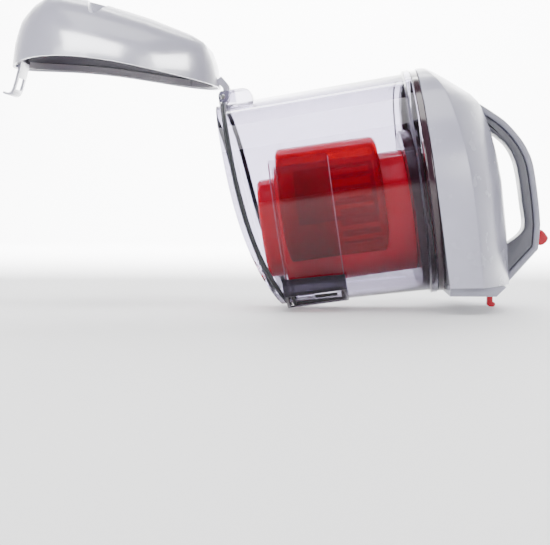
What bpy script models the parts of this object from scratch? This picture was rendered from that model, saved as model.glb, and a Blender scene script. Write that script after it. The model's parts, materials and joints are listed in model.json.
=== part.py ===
"""Dust container of a cylinder vacuum, lying on its side with the emptying lid swung open.

The container frame has x along the bin's axis towards the head, z towards the lid's hinge and y across.
Helpers take millimetres in that frame and convert them once, when a mesh is finished.
"""

import math

import bmesh
import bpy
from mathutils import Matrix, Vector

MM = 0.001
GAP = 0.3

# placing of the whole container
AXIS_TILT = 7.86
CONTAINER_AT = (132.6, 0.0, 108.4)

# bin
WALL = 2.6
MOUTH_RADIUS = 88.1
SEAM_RADIUS = 92.8
CUP_BACK = -6.3
MOUTH_BOW = 7.5
BOW_SKEW = 0.7
MOUTH_MIDDLE = -154.7
MOUTH_SLOPE = -0.191
CUP_SEGMENTS = 48

# lid
PIN = (-164.6, 94.1)
LID_OPEN = 114.3
LID_WALL = 2.4
LID_HALF_WIDTH = 88.0

# cyclone
CORE_Z = -22.0
CORE_RADIUS = 51.4
DRUM_Z = -13.0
DRUM_RADIUS = 57.5

# head and handle
HEAD_RADIUS = 95.6
HEAD_WALL = 2.6
SHELL_BOTTOM = 21.0
FRAME_BOTTOM = 12.75
HANDLE_HALF_WIDTH = 15.0
LATCH_AT = (184.3, 0.0, 44.0)
LATCH_HALF_WIDTH = 4.0
BUTTON_AT = (83.0, 0.0, -60.5)

for old in list(bpy.data.objects):
    bpy.data.objects.remove(old, do_unlink=True)


# ---------------------------------------------------------------- helpers

def material(name, colour, roughness, metallic=0.0, alpha=1.0):
    made = bpy.data.materials.new(name)
    made.use_nodes = True
    shader = made.node_tree.nodes["Principled BSDF"]
    shader.inputs["Base Color"].default_value = (*colour, 1.0)
    shader.inputs["Roughness"].default_value = roughness
    shader.inputs["Metallic"].default_value = metallic
    shader.inputs["Alpha"].default_value = alpha
    return made


def empty(name, parent=None, at=(0, 0, 0), turn_y=0.0):
    made = bpy.data.objects.new(name, None)
    bpy.context.scene.collection.objects.link(made)
    made.parent = parent
    made.location = Vector(at) * MM
    made.rotation_euler = (0, math.radians(turn_y), 0)
    return made


def add(name, bm, mat, parent, pivot=(0, 0, 0), smooth=True, at_pivot=False):
    """One object from a bmesh in millimetres; its origin is the pivot."""
    bmesh.ops.translate(bm, verts=bm.verts, vec=-Vector(pivot))
    bmesh.ops.scale(bm, verts=bm.verts, vec=(MM, MM, MM))
    bmesh.ops.recalc_face_normals(bm, faces=bm.faces)
    mesh = bpy.data.meshes.new(name)
    bm.to_mesh(mesh)
    bm.free()
    if mat:
        mesh.materials.append(mat)
    if smooth:
        mesh.shade_smooth()
        mesh.set_sharp_from_angle(angle=math.radians(30))
    made = bpy.data.objects.new(name, mesh)
    bpy.context.scene.collection.objects.link(made)
    made.parent = parent
    if at_pivot:
        made.location = Vector(pivot) * MM
    return made


def hidden(tool):
    """Mark an object as a helper that isn't a piece."""
    tool.hide_render = True
    tool.display_type = "WIRE"
    return tool


def shape_with(target, operation, bm, parent, pivot=(0, 0, 0)):
    """Cut or join a helper shape, given in the same millimetres as the target's mesh."""
    tool = add(f"{target.name}_tool_{len(target.modifiers)}", bm, None, parent, pivot, smooth=False)
    hidden(tool)
    change = target.modifiers.new(operation.lower(), "BOOLEAN")
    change.operation = operation
    change.solver = "EXACT"
    change.object = tool
    return target


def cut(target, bm, parent, pivot=(0, 0, 0)):
    return shape_with(target, "DIFFERENCE", bm, parent, pivot)


def join(target, bm, parent, pivot=(0, 0, 0)):
    return shape_with(target, "UNION", bm, parent, pivot)


def bevel(target, width, segments=2, angle=40):
    soft = target.modifiers.new("bevel", "BEVEL")
    soft.width = width * MM
    soft.segments = segments
    soft.limit_method = "ANGLE"
    soft.angle_limit = math.radians(angle)
    return target


def loft(rings):
    """A closed solid through rings of equal length, capped at both ends."""
    bm = bmesh.new()
    rows = [[bm.verts.new(p) for p in ring] for ring in rings]
    count = len(rows[0])
    for low, high in zip(rows, rows[1:]):
        for i in range(count):
            j = (i + 1) % count
            bm.faces.new((low[i], low[j], high[j], high[i]))
    bm.faces.new(rows[0])
    bm.faces.new(rows[-1])
    return bm


def prism(outline, y0, y1):
    """An outline of (x, z) points drawn out along y."""
    return loft([[(x, y, z) for x, z in outline] for y in (y0, y1)])


def box(x0, x1, y0, y1, z0, z1):
    return prism([(x0, z0), (x1, z0), (x1, z1), (x0, z1)], y0, y1)


def cylinder_y(x, z, radius, y0, y1, segments=24):
    turn = [2 * math.pi * i / segments for i in range(segments)]
    return prism([(x + radius * math.cos(t), z + radius * math.sin(t)) for t in turn], y0, y1)


def revolve(profile, centre_z=0.0, segments=40):
    """A closed outline of (x, radius) points turned about the line along x at centre_z."""
    bm = bmesh.new()
    on_axis = {i: bm.verts.new((x, 0, centre_z)) for i, (x, r) in enumerate(profile) if r == 0}
    rows = []
    for s in range(segments):
        t = 2 * math.pi * s / segments
        row = [
            on_axis.get(i) or bm.verts.new((x, r * math.cos(t), centre_z + r * math.sin(t)))
            for i, (x, r) in enumerate(profile)
        ]
        rows.append(row)
    for s in range(segments):
        a, b = rows[s], rows[(s + 1) % segments]
        for i in range(len(profile)):
            j = (i + 1) % len(profile)
            corners = list(dict.fromkeys((a[i], a[j], b[j], b[i])))
            if len(corners) > 2:
                bm.faces.new(corners)
    return bm


def ring(x0, x1, inner, outer):
    return [(x0, outer), (x1, outer), (x1, inner), (x0, inner)]


def sector(x0, x1, inner, outer, start, end, centre_z, steps=20, slope=0.0):
    """Part of a tube wall between two angles; slope carries it along x as it turns."""
    rings = []
    for i in range(steps + 1):
        t = math.radians(start + (end - start) * i / steps)
        shift = slope * i / steps
        corners = [(x0, inner), (x1, inner), (x1, outer), (x0, outer)]
        rings.append(
            [(x + shift, r * math.cos(t), centre_z + r * math.sin(t)) for x, r in corners]
        )
    return loft(rings)


def thick_line(points, width):
    """The outline of a bent strip of even width along (x, z) points."""
    left, right = [], []
    for i, point in enumerate(points):
        before = Vector(points[max(i - 1, 0)])
        after = Vector(points[min(i + 1, len(points) - 1)])
        along = (after - before).normalized()
        side = Vector((-along.y, along.x)) * width / 2
        left.append(tuple(Vector(point) + side))
        right.append(tuple(Vector(point) - side))
    return left + right[::-1]


def between(table, at):
    """Straight-line reading of a table of (key, value) pairs, keys rising."""
    if at <= table[0][0]:
        return table[0][1]
    for (k0, v0), (k1, v1) in zip(table, table[1:]):
        if at <= k1:
            return v0 + (v1 - v0) * (at - k0) / (k1 - k0)
    return table[-1][1]


def mouth_x(z, outside=0.0):
    """The bowed edge of the bin's mouth, fuller in its lower half and the same all across y."""
    level = max(min(z / MOUTH_RADIUS, 1.2), -1.2)
    bow = MOUTH_BOW * (1 - level * level) * (1 - BOW_SKEW * level)
    return MOUTH_MIDDLE + MOUTH_SLOPE * z - bow - outside


def mouth_cutter(behind, reach=-260.0, steps=20):
    """All that lies outside a line the given distance behind the mouth's edge."""
    span = 110.0
    levels = [-span + 2 * span * i / steps for i in range(steps + 1)]
    curve = [(mouth_x(z, -behind), z) for z in levels]
    return prism([(reach, -span)] + curve + [(reach, span)], -120, 120)


def rim_cutter(outside):
    """All that lies on the bin's side of a line outside the mouth's edge."""
    span = 110.0
    levels = [-span + 2 * span * i / 20 for i in range(21)]
    curve = [(mouth_x(z, outside), z) for z in levels]
    return prism([(-40.0, -span)] + curve + [(-40.0, span)], -120, 120)


def turned(bm, degrees):
    bmesh.ops.rotate(bm, verts=bm.verts, cent=(0, 0, 0), matrix=Matrix.Rotation(math.radians(degrees), 3, "Y"))
    return bm


# ---------------------------------------------------------------- materials

CLEAR = material("clear_plastic", (0.83, 0.82, 0.89), 0.08, alpha=0.35)
SMOKED = material("smoked_plastic", (0.08, 0.08, 0.11), 0.2, alpha=0.75)
RED_CLEAR = material("red_clear_plastic", (0.62, 0.01, 0.03), 0.12, alpha=0.7)
RED = material("red_plastic", (0.70, 0.02, 0.03), 0.35)
LIGHT_GREY = material("light_grey_plastic", (0.47, 0.47, 0.55), 0.32)
MID_GREY = material("mid_grey_plastic", (0.30, 0.31, 0.36), 0.4)
DARK_GREY = material("dark_grey_plastic", (0.13, 0.13, 0.15), 0.45)
BLACK_RUBBER = material("black_rubber", (0.012, 0.012, 0.015), 0.6)
PLUM = material("plum_plastic", (0.04, 0.008, 0.02), 0.25)
STEEL = material("steel", (0.6, 0.6, 0.6), 0.3, metallic=1.0)
PAPER = material("filter_paper", (0.8, 0.78, 0.7), 0.9)
FOAM = material("filter_foam", (0.05, 0.05, 0.05), 0.95)

STAND = empty("stand")
CONTAINER = empty("container", STAND, CONTAINER_AT, -AXIS_TILT)
LATCH_AXIS = empty("latch_axis", STAND, LATCH_AT)
LID_AXIS = empty("lid_axis", CONTAINER, (PIN[0], 0, PIN[1]), LID_OPEN)
LID_PIVOT = (PIN[0], 0, PIN[1])


# ---------------------------------------------------------------- bin

RECESS_HALF = 20.0
RECESS_FLOOR = -79.4
RECESS_END = -110.0
BLOCK_HALF = 19.0
KNUCKLE_SLOT_HALF = 8.3
PORT_X = (-133.6, -81.6)
PORT_Y = (-62.0, -22.0)
PORT_NEAR_Z = -79.2
PORT_FAR_Z = -91.2


def cup_radius(x):
    """Outer radius of the tapered bin."""
    long = -180.0
    return MOUTH_RADIUS + (SEAM_RADIUS - MOUTH_RADIUS) * (x - long) / (-12.0 - long)


def dust_cup():
    outer = [(-180, 0), (-180, MOUTH_RADIUS), (-12, SEAM_RADIUS), (-12, 95.3), (CUP_BACK, 95.3), (CUP_BACK, 0)]
    cup = add("dust_cup", revolve(outer, segments=CUP_SEGMENTS), CLEAR, CONTAINER)
    block = [(-168.5, 83), (-168.5, 96), (-166.5, 99.2), (-147, 99.2), (-142.5, 97.6), (-140, 93.5), (-139.2, 83)]
    join(cup, prism(block, -BLOCK_HALF, BLOCK_HALF), CONTAINER)
    join(cup, box(-127, -88, -56.5, -27.5, -77, -60), CONTAINER)
    inner = [(-190, 0), (-190, MOUTH_RADIUS - WALL - 0.3), (0, SEAM_RADIUS - WALL + 0.3), (0, 0)]
    cut(cup, revolve(inner, segments=CUP_SEGMENTS), CONTAINER)
    tray_half = RECESS_HALF + 2.4
    join(cup, box(-150, RECESS_END + 2.4, -tray_half, tray_half, -84.4, RECESS_FLOOR + 2.4), CONTAINER)
    cut(cup, box(-165, RECESS_END, -RECESS_HALF, RECESS_HALF, -100, RECESS_FLOOR), CONTAINER)
    catch = [(-128, -78.5), (-124.5, -81.6), (-123, -81.6), (-123, -78.5)]
    join(cup, prism(catch, -9, 9), CONTAINER)
    cut(cup, box(-124.6, -90.4, -54.1, -29.9, -100, -50), CONTAINER)
    cut(cup, box(-180, -154.4, -KNUCKLE_SLOT_HALF, KNUCKLE_SLOT_HALF, 88.9, 104), CONTAINER)
    cut(cup, cylinder_y(*PIN, 2.2, -30, 30), CONTAINER)
    channel = hidden(seal_band("seal_channel", None, 0.2, 2.8, 4.1, 8.9))
    groove = cup.modifiers.new("groove", "BOOLEAN")
    groove.object = channel
    cut(cup, mouth_cutter(0.0), CONTAINER)
    return cup


def seal_band(name, mat, low, high, front, back):
    """A band round the outside of the bin that follows the bowed mouth."""
    inner = MOUTH_RADIUS + low
    outer = MOUTH_RADIUS + high
    taper = 1.9
    band = [(-190, inner), (-190, outer), (-110, outer + taper), (-110, inner + taper)]
    made = add(name, revolve(band, segments=CUP_SEGMENTS), mat, CONTAINER)
    cut(made, mouth_cutter(front), CONTAINER)
    cut(made, rim_cutter(-back), CONTAINER)
    return made


def mouth_seal():
    """Rubber band round the mouth, open where the lid's clip passes."""
    seal = seal_band("mouth_seal", BLACK_RUBBER, 0.4, 2.4, 4.4, 8.6)
    cut(seal, box(-180, -100, -RECESS_HALF - 3, RECESS_HALF + 3, -110, -60), CONTAINER)
    return cut(seal, cylinder_y(*PIN, 4.7, -8.4, 8.4), CONTAINER)


def hinge_pin():
    shaft = loft(
        [
            [
                (PIN[0] + r * math.cos(a), y, PIN[1] + r * math.sin(a))
                for a in (2 * math.pi * i / 20 for i in range(20))
            ]
            for y, r in ((-20.2, 1.2), (-19.5, 1.8), (19.5, 1.8), (20.2, 1.2))
        ]
    )
    return add("hinge_pin", shaft, STEEL, CONTAINER)


def cup_space():
    """The bin's outside grown by the working gap."""
    profile = [(-182, 0), (-182, MOUTH_RADIUS + 0.35), (-10, SEAM_RADIUS + 0.45), (-10, 0)]
    return revolve(profile, segments=CUP_SEGMENTS)


def inlet_port_frame():
    """Smoky socket that plugs on the hose channel; its mouth slants from the near edge down to the far edge."""
    y0, y1 = PORT_Y
    x0, x1 = PORT_X
    ends = [[(x, y0, -58), (x, y0, PORT_NEAR_Z), (x, y1, PORT_FAR_Z), (x, y1, -80)] for x in (x0, x1)]
    frame = add("inlet_port_frame", loft(ends), SMOKED, CONTAINER)
    cut(frame, box(x0 + 3, x1 - 3, y0 + 2.6, y1 - 2.6, -110, -50), CONTAINER)
    cut(frame, cup_space(), CONTAINER)
    channel = hidden(seal_band("frame_channel", None, 0.0, 3.0, 4.0, 9.1))
    groove = frame.modifiers.new("groove", "BOOLEAN")
    groove.object = channel
    return frame


def port_seal():
    """Rubber lip just inside the socket's mouth."""
    x0, x1 = PORT_X[0] + 5.5, PORT_X[1] - 3.3
    y0, y1 = PORT_Y[0] + 2.9, PORT_Y[1] - 2.9
    drop = (PORT_NEAR_Z - PORT_FAR_Z) / (PORT_Y[1] - PORT_Y[0])

    def mouth(y):
        return PORT_NEAR_Z - drop * (y - PORT_Y[0])

    ends = [[(x, y, mouth(y) + up) for y, up in ((y0, 0.8), (y0, 3.4), (y1, 3.4), (y1, 0.8))] for x in (x0, x1)]
    seal = add("port_seal", loft(ends), BLACK_RUBBER, CONTAINER)
    cut(seal, box(x0 + 2.2, x1 - 2.2, y0 + 2.2, y1 - 2.2, -110, -50), CONTAINER)
    return cut(seal, cup_space(), CONTAINER)


def inlet_duct():
    """Clear channel up the near wall that leads the dirty air into the drum."""
    duct = add("inlet_duct", sector(-130.6, -82.4, 66, 86.0, 158, 247, 0, 14), CLEAR, CONTAINER)
    join(duct, box(-121, -92, -70, -40, 2, 22), CONTAINER)
    channel = add("duct_channel", sector(-128.4, -84.6, 68, 84.0, 162, 250, 0, 14), None, CONTAINER)
    hidden(channel)
    cut(channel, revolve(tube_space(CORE_RADIUS + 2.6), CORE_Z), CONTAINER)
    hollow = duct.modifiers.new("channel", "BOOLEAN")
    hollow.object = channel
    cut(duct, box(-119, -94, -75, -30, 4, 20), CONTAINER)
    cut(duct, box(-126, -89, -54.1, -29.9, -100, -66), CONTAINER)
    cut(duct, revolve(tube_space(DRUM_RADIUS + 0.4), DRUM_Z), CONTAINER)
    cut(duct, revolve(tube_space(CORE_RADIUS + 0.4), CORE_Z), CONTAINER)
    return duct


def tube_space(radius):
    return [(-140, 0), (-140, radius), (-70, radius), (-70, 0)]


def head_seal():
    return add("head_seal", revolve(ring(-6.0, -0.3, 88.6, 94.6)), BLACK_RUBBER, CONTAINER)


# ---------------------------------------------------------------- cyclone

def cyclone_core():
    """Red inner tube, closed towards the bin's mouth."""
    r, w = CORE_RADIUS, 2.2
    outline = [(-129.8, 0), (-129.8, r - 2), (-127.8, r), (-18, r), (-18, r - w), (-127.2, r - w), (-127.2, 0)]
    core = add("cyclone_core", revolve(outline, CORE_Z), RED_CLEAR, CONTAINER)
    for k in range(5):
        lift = 12 - 9 * k
        cut(core, box(-78, -46, -80, -30, CORE_Z + lift, CORE_Z + lift + 5), CONTAINER)
    return core


def cyclone_tip():
    r = 42.3
    outline = [(-146, 0), (-146, r - 4), (-144.6, r - 1.2), (-142, r), (-130.2, r), (-130.2, r - 2.2)]
    outline += [(-142, r - 2.2), (-143.6, r - 4.5), (-143.6, 0)]
    return add("cyclone_tip", revolve(outline, CORE_Z), RED_CLEAR, CONTAINER)


def cyclone_drum():
    """Scroll casing round the core; the core's tube stands a little proud of it at the bottom."""
    r, w = DRUM_RADIUS, 2.2
    outside = [(-127, 0), (-127, r - 5), (-125.5, r - 1.5), (-122, r), (-44, r), (-40.5, r - 1.5), (-39, r - 5), (-39, 0)]
    inside = [(-124.8, 0), (-124.8, r - 6), (-122, r - w), (-44, r - w), (-41.2, r - 6), (-41.2, 0)]
    drum = add("cyclone_drum", revolve(outside, DRUM_Z), RED_CLEAR, CONTAINER)
    cut(drum, revolve(inside, DRUM_Z), CONTAINER)
    core = [(-140, 0), (-140, CORE_RADIUS + 0.4), (-20, CORE_RADIUS + 0.4), (-20, 0)]
    cut(drum, revolve(core, CORE_Z), CONTAINER)
    cut(drum, box(-119, -94, -75, -40, 4, 20), CONTAINER)
    return drum


def vortex_tube():
    """Dark outlet tube down the middle of the core."""
    outline = ring(-118, -18, 20, 22.5)
    return add("vortex_tube", revolve(outline, CORE_Z, 40), PLUM, CONTAINER)


def spiral_ramp():
    """Ribbon inside the core that sets the air spinning."""
    ramp = sector(-120, -108, 38, CORE_RADIUS - 2.6, 128, 214, CORE_Z, 22, slope=30)
    return add("spiral_ramp", ramp, PLUM, CONTAINER)


def window_grille():
    """Rounded frame over the core's air slots."""
    bars = sector(-113, -45.5, CORE_RADIUS + 0.7, CORE_RADIUS + 2.0, 122, 181, CORE_Z, 12)
    grille = add("window_grille", bars, PLUM, CONTAINER)
    for k in range(4):
        start = 127 + 13.5 * k
        cut(grille, sector(-84, -49, CORE_RADIUS - 3, CORE_RADIUS + 6, start, start + 9.5, CORE_Z, 4), CONTAINER)
    return grille


def flange_disc():
    """Dark skirt that keeps the dust away from the outlet."""
    outline = [(-17.5, 67), (-15.5, 67.6), (-6.9, 67.6), (-6.9, 54), (-13.5, 54), (-13.5, 42), (-17.5, 42)]
    return add("flange_disc", revolve(outline, CORE_Z), PLUM, CONTAINER)


def bayonet_ring():
    """Red collar that twists into the bulkhead and carries the cyclone."""
    collar = add("bayonet_ring", revolve(ring(-17.2, -0.3, 37.5, 41.5), CORE_Z), RED, CONTAINER)
    for k in range(3):
        start = 90 + 120 * k
        join(collar, sector(-4.3, -0.3, 39, 46, start, start + 24, CORE_Z, 5), CONTAINER)
    return collar


# ---------------------------------------------------------------- head

REAR = [(-104, 52.0), (-94, 53.1), (-50, 56.6), (-8.9, 58.0), (15, 56.6), (34, 54.2), (48, 51.0), (58.5, 47.6)]
TOP = [(66.2, 41.8), (80, 25.0), (94.6, 8.0), (95.6, 4.0)]
CREASE = [(-104, 26.0), (-40, 28.0), (5, 27.5), (40, 24.0), (73, 17.5), (90, 8.5), (95.6, 3.0)]


def head_level(z, inset, start):
    """Outline across the head at one height: side wall, crease, slanting rear facet and flat back strip."""
    depth = between(REAR + TOP, z) - inset
    radius = HEAD_RADIUS - inset
    half = math.sqrt(max(radius * radius - min(abs(z), radius) ** 2, 9.0)) if z > 0 else radius
    half = max(half - max(-z - 30, 0) * 0.10, 3.0) if z < 0 else half
    crease = min(between(CREASE, z) - inset * 0.4, depth - 1.0)
    strip = min(24.0, half * 0.5) - inset * 0.3
    side = half * 0.94 + 1.2
    side = min(side, half - 0.4)
    facet = [(crease, side)]
    for i in range(1, 5):
        t = i / 4
        swell = 0.07 * math.sin(math.pi * t)
        facet.append((crease + (depth - crease) * (t + swell), side + (strip - side) * (t - swell * 0.5)))
    near = [(start, half)] + facet
    return [(x, -y, z) for x, y in near] + [(x, y, z) for x, y in reversed(near)]


def head_body(inset, start):
    """The head's outer form: straight walls below the axis, a round top above it."""
    low, count = -104.0, 10
    top = math.radians(85)
    levels = [low * (1 - i / count) for i in range(count)]
    levels += [(HEAD_RADIUS - inset) * math.sin(top * i / 12) for i in range(13)]
    return loft([head_level(z, inset, start) for z in levels])


def below_floor_line(height):
    """Everything under a level line, given from the surface the container lies on."""
    bm = box(-300, 300, -150, 150, -200, height - CONTAINER_AT[2])
    return turned(bm, AXIS_TILT)


def head_shell():
    shell = add("head_shell", head_body(0.0, 0.0), LIGHT_GREY, CONTAINER)
    cut(shell, head_body(HEAD_WALL, -3.0), CONTAINER)
    cut(shell, below_floor_line(SHELL_BOTTOM), CONTAINER)
    for y in (-9.0, 9.0):
        cut(shell, box(40, 62, y - 1.6, y + 1.6, 47.5, 50.7), CONTAINER)
    return shell


def head_plate():
    """Bulkhead behind the bin, with the outlet in its middle; its foot is level with the shell's edge."""
    radius = HEAD_RADIUS - HEAD_WALL - 1.3
    foot = -87.0
    arc = [math.radians(12 * i) for i in range(16)]
    outline = [(radius * math.cos(t), radius * math.sin(t)) for t in arc]
    waist = radius - 0.1 * (-foot - 30)
    outline += [(-radius, -30), (-waist, foot), (waist, foot), (radius, -30)]
    plate = add("head_plate", loft([[(x, y, z) for y, z in outline] for x in (0.3, 3.3)]), DARK_GREY, CONTAINER)
    return cut(plate, revolve([(-5, 0), (-5, 30), (8, 30), (8, 0)]), CONTAINER)


def filter_stack():
    frame = add("filter_frame", revolve(ring(3.8, 20, 50, 53), -6), MID_GREY, CONTAINER)
    join(frame, revolve(ring(18, 20, 26, 51), -6), CONTAINER)
    pleats = []
    count = 30
    for x in (5.0, 12.5):
        row = []
        for i in range(count * 2):
            t = math.pi * i / count
            r = 49.0 if i % 2 else 44.0
            row.append((x, r * math.cos(t), -6 + r * math.sin(t)))
        pleats.append(row)
    add("pleated_filter", loft(pleats), PAPER, CONTAINER, smooth=False)
    add("foam_filter", revolve([(13.2, 0), (13.2, 49), (17.4, 49), (17.4, 0)], -6), FOAM, CONTAINER)
    return frame


def underside_frame():
    """Ribbed outlet tray under the head, level with the surface, with the latch's bracket on top."""
    x0, x1 = 146.2, 192.0
    top = SHELL_BOTTOM - GAP
    outline = [(x0, FRAME_BOTTOM), (x1 - 8, FRAME_BOTTOM), (x1, top), (x0, top)]
    tray = add("underside_frame", prism(outline, -62, 62), LIGHT_GREY, STAND)
    for a, b in ((x0 + 2.2, 157.0), (159.2, 168.2), (170.4, 180.0)):
        for c, d in ((-59.5, -21.2), (-19, 19), (21.2, 59.5)):
            cut(tray, box(a, b, c, d, 0, top - 2.2), STAND)
    x, z = LATCH_AT[0], LATCH_AT[2]
    for side in (-1, 1):
        inner, outer = side * (LATCH_HALF_WIDTH + 1.0), side * (LATCH_HALF_WIDTH + 4.0)
        lug = [(x - 5, top - 1), (x + 4, top - 1), (x + 4, z + 2), (x + 1.5, z + 4.5), (x - 2.5, z + 4.5), (x - 5, z + 2)]
        join(tray, prism(lug, min(inner, outer), max(inner, outer)), STAND)
    cut(tray, cylinder_y(x, z, 1.9, -20, 20), STAND)
    cut(tray, box(176.6, 187.6, -LATCH_HALF_WIDTH - 0.7, LATCH_HALF_WIDTH + 0.7, 0, 30), STAND)
    return tray


def tray_screws():
    """Four screws that hold the tray to the head, driven from below."""
    for number, (x, y) in enumerate(((152.7, -40), (152.7, 40), (175.2, -40), (175.2, 40))):
        bm = loft(
            [
                [
                    (x + r * math.cos(a), y + r * math.sin(a), z)
                    for a in (2 * math.pi * i / 16 for i in range(16))
                ]
                for z, r in ((15.4, 2.6), (15.9, 3.0), (SHELL_BOTTOM - 2 * GAP - 2.2, 3.0))
            ]
        )
        screw = add(f"tray_screw_{number + 1}", bm, STEEL, STAND)
        for wide, deep in ((2.0, 0.35), (0.35, 2.0)):
            cut(screw, box(x - wide, x + wide, y - deep, y + deep, 14, 16.6), STAND)


# ---------------------------------------------------------------- handle

OUTER = [(40.0, 65.9), (47.4, 59.6), (58.9, 49.7), (69.0, 40.0), (78.3, 26.5), (84.2, 13.8), (87.2, -0.4), (87.6, -30.1)]
OUTER += [(86.6, -50.0), (82.0, -70.4), (55.2, -93.0), (47.6, -99.4)]
INNER = [(55.0, 34.3), (66.2, 22.2), (71.8, 9.4), (73.6, -4.4), (73.8, -28.3), (72.4, -51.1), (58.0, -61.7)]
STRIP_WIDTH = 5.4


def smooth_line(points, steps=4):
    """Catmull-Rom points through the given ones, ends kept."""
    ends = [points[0], *points, points[-1]]
    made = []
    for a, b, c, d in zip(ends, ends[1:], ends[2:], ends[3:]):
        for i in range(steps):
            t = i / steps
            made.append(
                tuple(
                    0.5 * (2 * q + (r - p) * t + (2 * p - 5 * q + 4 * r - s) * t * t + (3 * q - p - 3 * r + s) * t**3)
                    for p, q, r, s in zip(a, b, c, d)
                )
            )
    return made + [points[-1]]


def offset_line(points, distance):
    made = []
    for i, point in enumerate(points):
        before = Vector(points[max(i - 1, 0)])
        after = Vector(points[min(i + 1, len(points) - 1)])
        along = (after - before).normalized()
        made.append(tuple(Vector(point) + Vector((along.y, -along.x)) * distance))
    return made


def head_space():
    return head_body(-GAP, -5.0)


def handle():
    outer = smooth_line(OUTER[:9], 3) + OUTER[9:]
    middle = offset_line(outer, STRIP_WIDTH)
    half = HANDLE_HALF_WIDTH
    strip = add("handle_strip", prism(outer + middle[::-1], -half, half), MID_GREY, CONTAINER)
    bevel(strip, 1.8)
    cut(strip, head_space(), CONTAINER)
    grip_edge = offset_line(outer, STRIP_WIDTH + GAP)
    inner = [(44.0, 44.0)] + smooth_line(INNER, 3) + [(46.0, -66.0)]
    grip = add("handle_grip", prism(grip_edge + inner[::-1], 0.8 - half, half - 0.8), DARK_GREY, CONTAINER)
    bevel(grip, 2.4)
    cut(grip, head_space(), CONTAINER)
    return strip, grip


def release_button():
    """Red thumb button on the heel of the handle; it slides into the handle."""
    outline = [(83.0, -54.0), (87.8, -54.2), (91.0, -58.5), (92.6, -62.6), (90.6, -65.4), (86.8, -67.7), (82.6, -67.0)]
    button = add("release_button", prism(outline, -9, 9), RED, CONTAINER, pivot=BUTTON_AT, at_pivot=True)
    return bevel(button, 0.8)


def button_spring():
    """Return spring in a bore of the grip, carried by the button."""
    helix = bpy.data.curves.new("button_spring", "CURVE")
    helix.dimensions = "3D"
    helix.bevel_depth = 0.45 * MM
    helix.bevel_resolution = 0
    helix.use_fill_caps = True
    turns, steps, long, radius = 4, 8, 7.2, 2.2
    line = helix.splines.new("POLY")
    count = turns * steps + 1
    line.points.add(count - 1)
    for i in range(count):
        t = 2 * math.pi * i / steps
        at = (-0.9 - long + long * i / (count - 1), radius * math.cos(t), radius * math.sin(t))
        line.points[i].co = (*(Vector(at) * MM), 1)
    helix.materials.append(STEEL)
    spring = bpy.data.objects.new("button_spring", helix)
    bpy.context.scene.collection.objects.link(spring)
    spring.parent = CONTAINER
    spring.location = Vector(BUTTON_AT) * MM
    return spring


def handle_cuts(strip, grip):
    x, _, z = BUTTON_AT
    cut(strip, box(x - 7.0, x + 14, -9.6, 9.6, z - 8.1, z + 7.3), CONTAINER)
    bore = [(x - 13.5, 0), (x - 13.5, 3.1), (x + 1, 3.1), (x + 1, 0)]
    cut(grip, revolve(bore, z, 20), CONTAINER)


def latch_hook():
    """Red catch that holds the container in the machine, hung on its pin in the head."""
    x, _, z = LATCH_AT
    outline = [(x - 2.4, 2.2), (x - 0.6, 0.6), (x + 3.4, 0.6), (x + 4.8, 2.2), (x + 4.2, 4.2), (x + 2.4, 4.6)]
    outline += [(x + 2.4, z + 2.6), (x + 0.9, z + 4.0), (x - 0.9, z + 4.0), (x - 2.4, z + 2.6)]
    half = LATCH_HALF_WIDTH
    hook = add("latch_hook", prism(outline, -half, half), RED, LATCH_AXIS, pivot=LATCH_AT)
    cut(hook, cylinder_y(x, z, 1.9, -20, 20, 16), LATCH_AXIS, LATCH_AT)
    return hook


def latch_pin():
    x, _, z = LATCH_AT
    return add("latch_pin", cylinder_y(x, z, 1.5, -8.6, 8.6, 16), STEEL, STAND)


# ---------------------------------------------------------------- lid

CHORD_FOOT = (mouth_x(-MOUTH_RADIUS), -MOUTH_RADIUS)
CHORD_HEAD = (mouth_x(MOUTH_RADIUS), MOUTH_RADIUS)
CHORD = math.dist(CHORD_FOOT, CHORD_HEAD)
ALONG = Vector((CHORD_HEAD[0] - CHORD_FOOT[0], CHORD_HEAD[1] - CHORD_FOOT[1])) / CHORD
OUTWARD = Vector((-ALONG.y, ALONG.x))
LID_TOP = [(0, 0), (1, 12), (3, 24), (9.3, 40), (20, 52), (32, 60.4), (44, 61.6), (62, 60), (82, 56.8)]
LID_TOP += [(120, 49), (155, 39.4), (166, 34.3), (173, 21), (176.6, 9.7), (179.2, 0)]


def lid_at(a, y, h):
    """A point of the closed lid: a along the rim's chord from the clip, h outwards from it."""
    flat = Vector(CHORD_FOOT) + ALONG * a + OUTWARD * h
    return (flat.x, y, flat.y)


def lid_section(turn, inset, steps=6):
    half_chord = CHORD / 2 - inset
    a = CHORD / 2 - half_chord * math.cos(turn)
    wide = (LID_HALF_WIDTH - inset) * math.sin(turn)
    nearness = abs(math.cos(turn)) ** 4
    strip = wide * (0.50 + 0.25 * nearness)
    top = max(between(LID_TOP, a) - inset, 0.6)
    last = math.radians(64)
    flat = 0.77
    side = [(wide, -5.0)]
    for i in range(steps):
        t = last * i / (steps - 1)
        out = (math.cos(t) ** flat - math.cos(last) ** flat) / (1 - math.cos(last) ** flat)
        up = math.sin(t) ** flat / math.sin(last) ** flat
        side.append((strip + (wide - strip) * out, top * up))
    return [lid_at(a, -y, h) for y, h in side] + [lid_at(a, y, h) for y, h in reversed(side)]


def lid_body(inset, stations=22):
    first = math.radians(5)
    turns = [first + (math.pi - 2 * first) * i / stations for i in range(stations + 1)]
    return loft([lid_section(t, inset) for t in turns])


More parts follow.
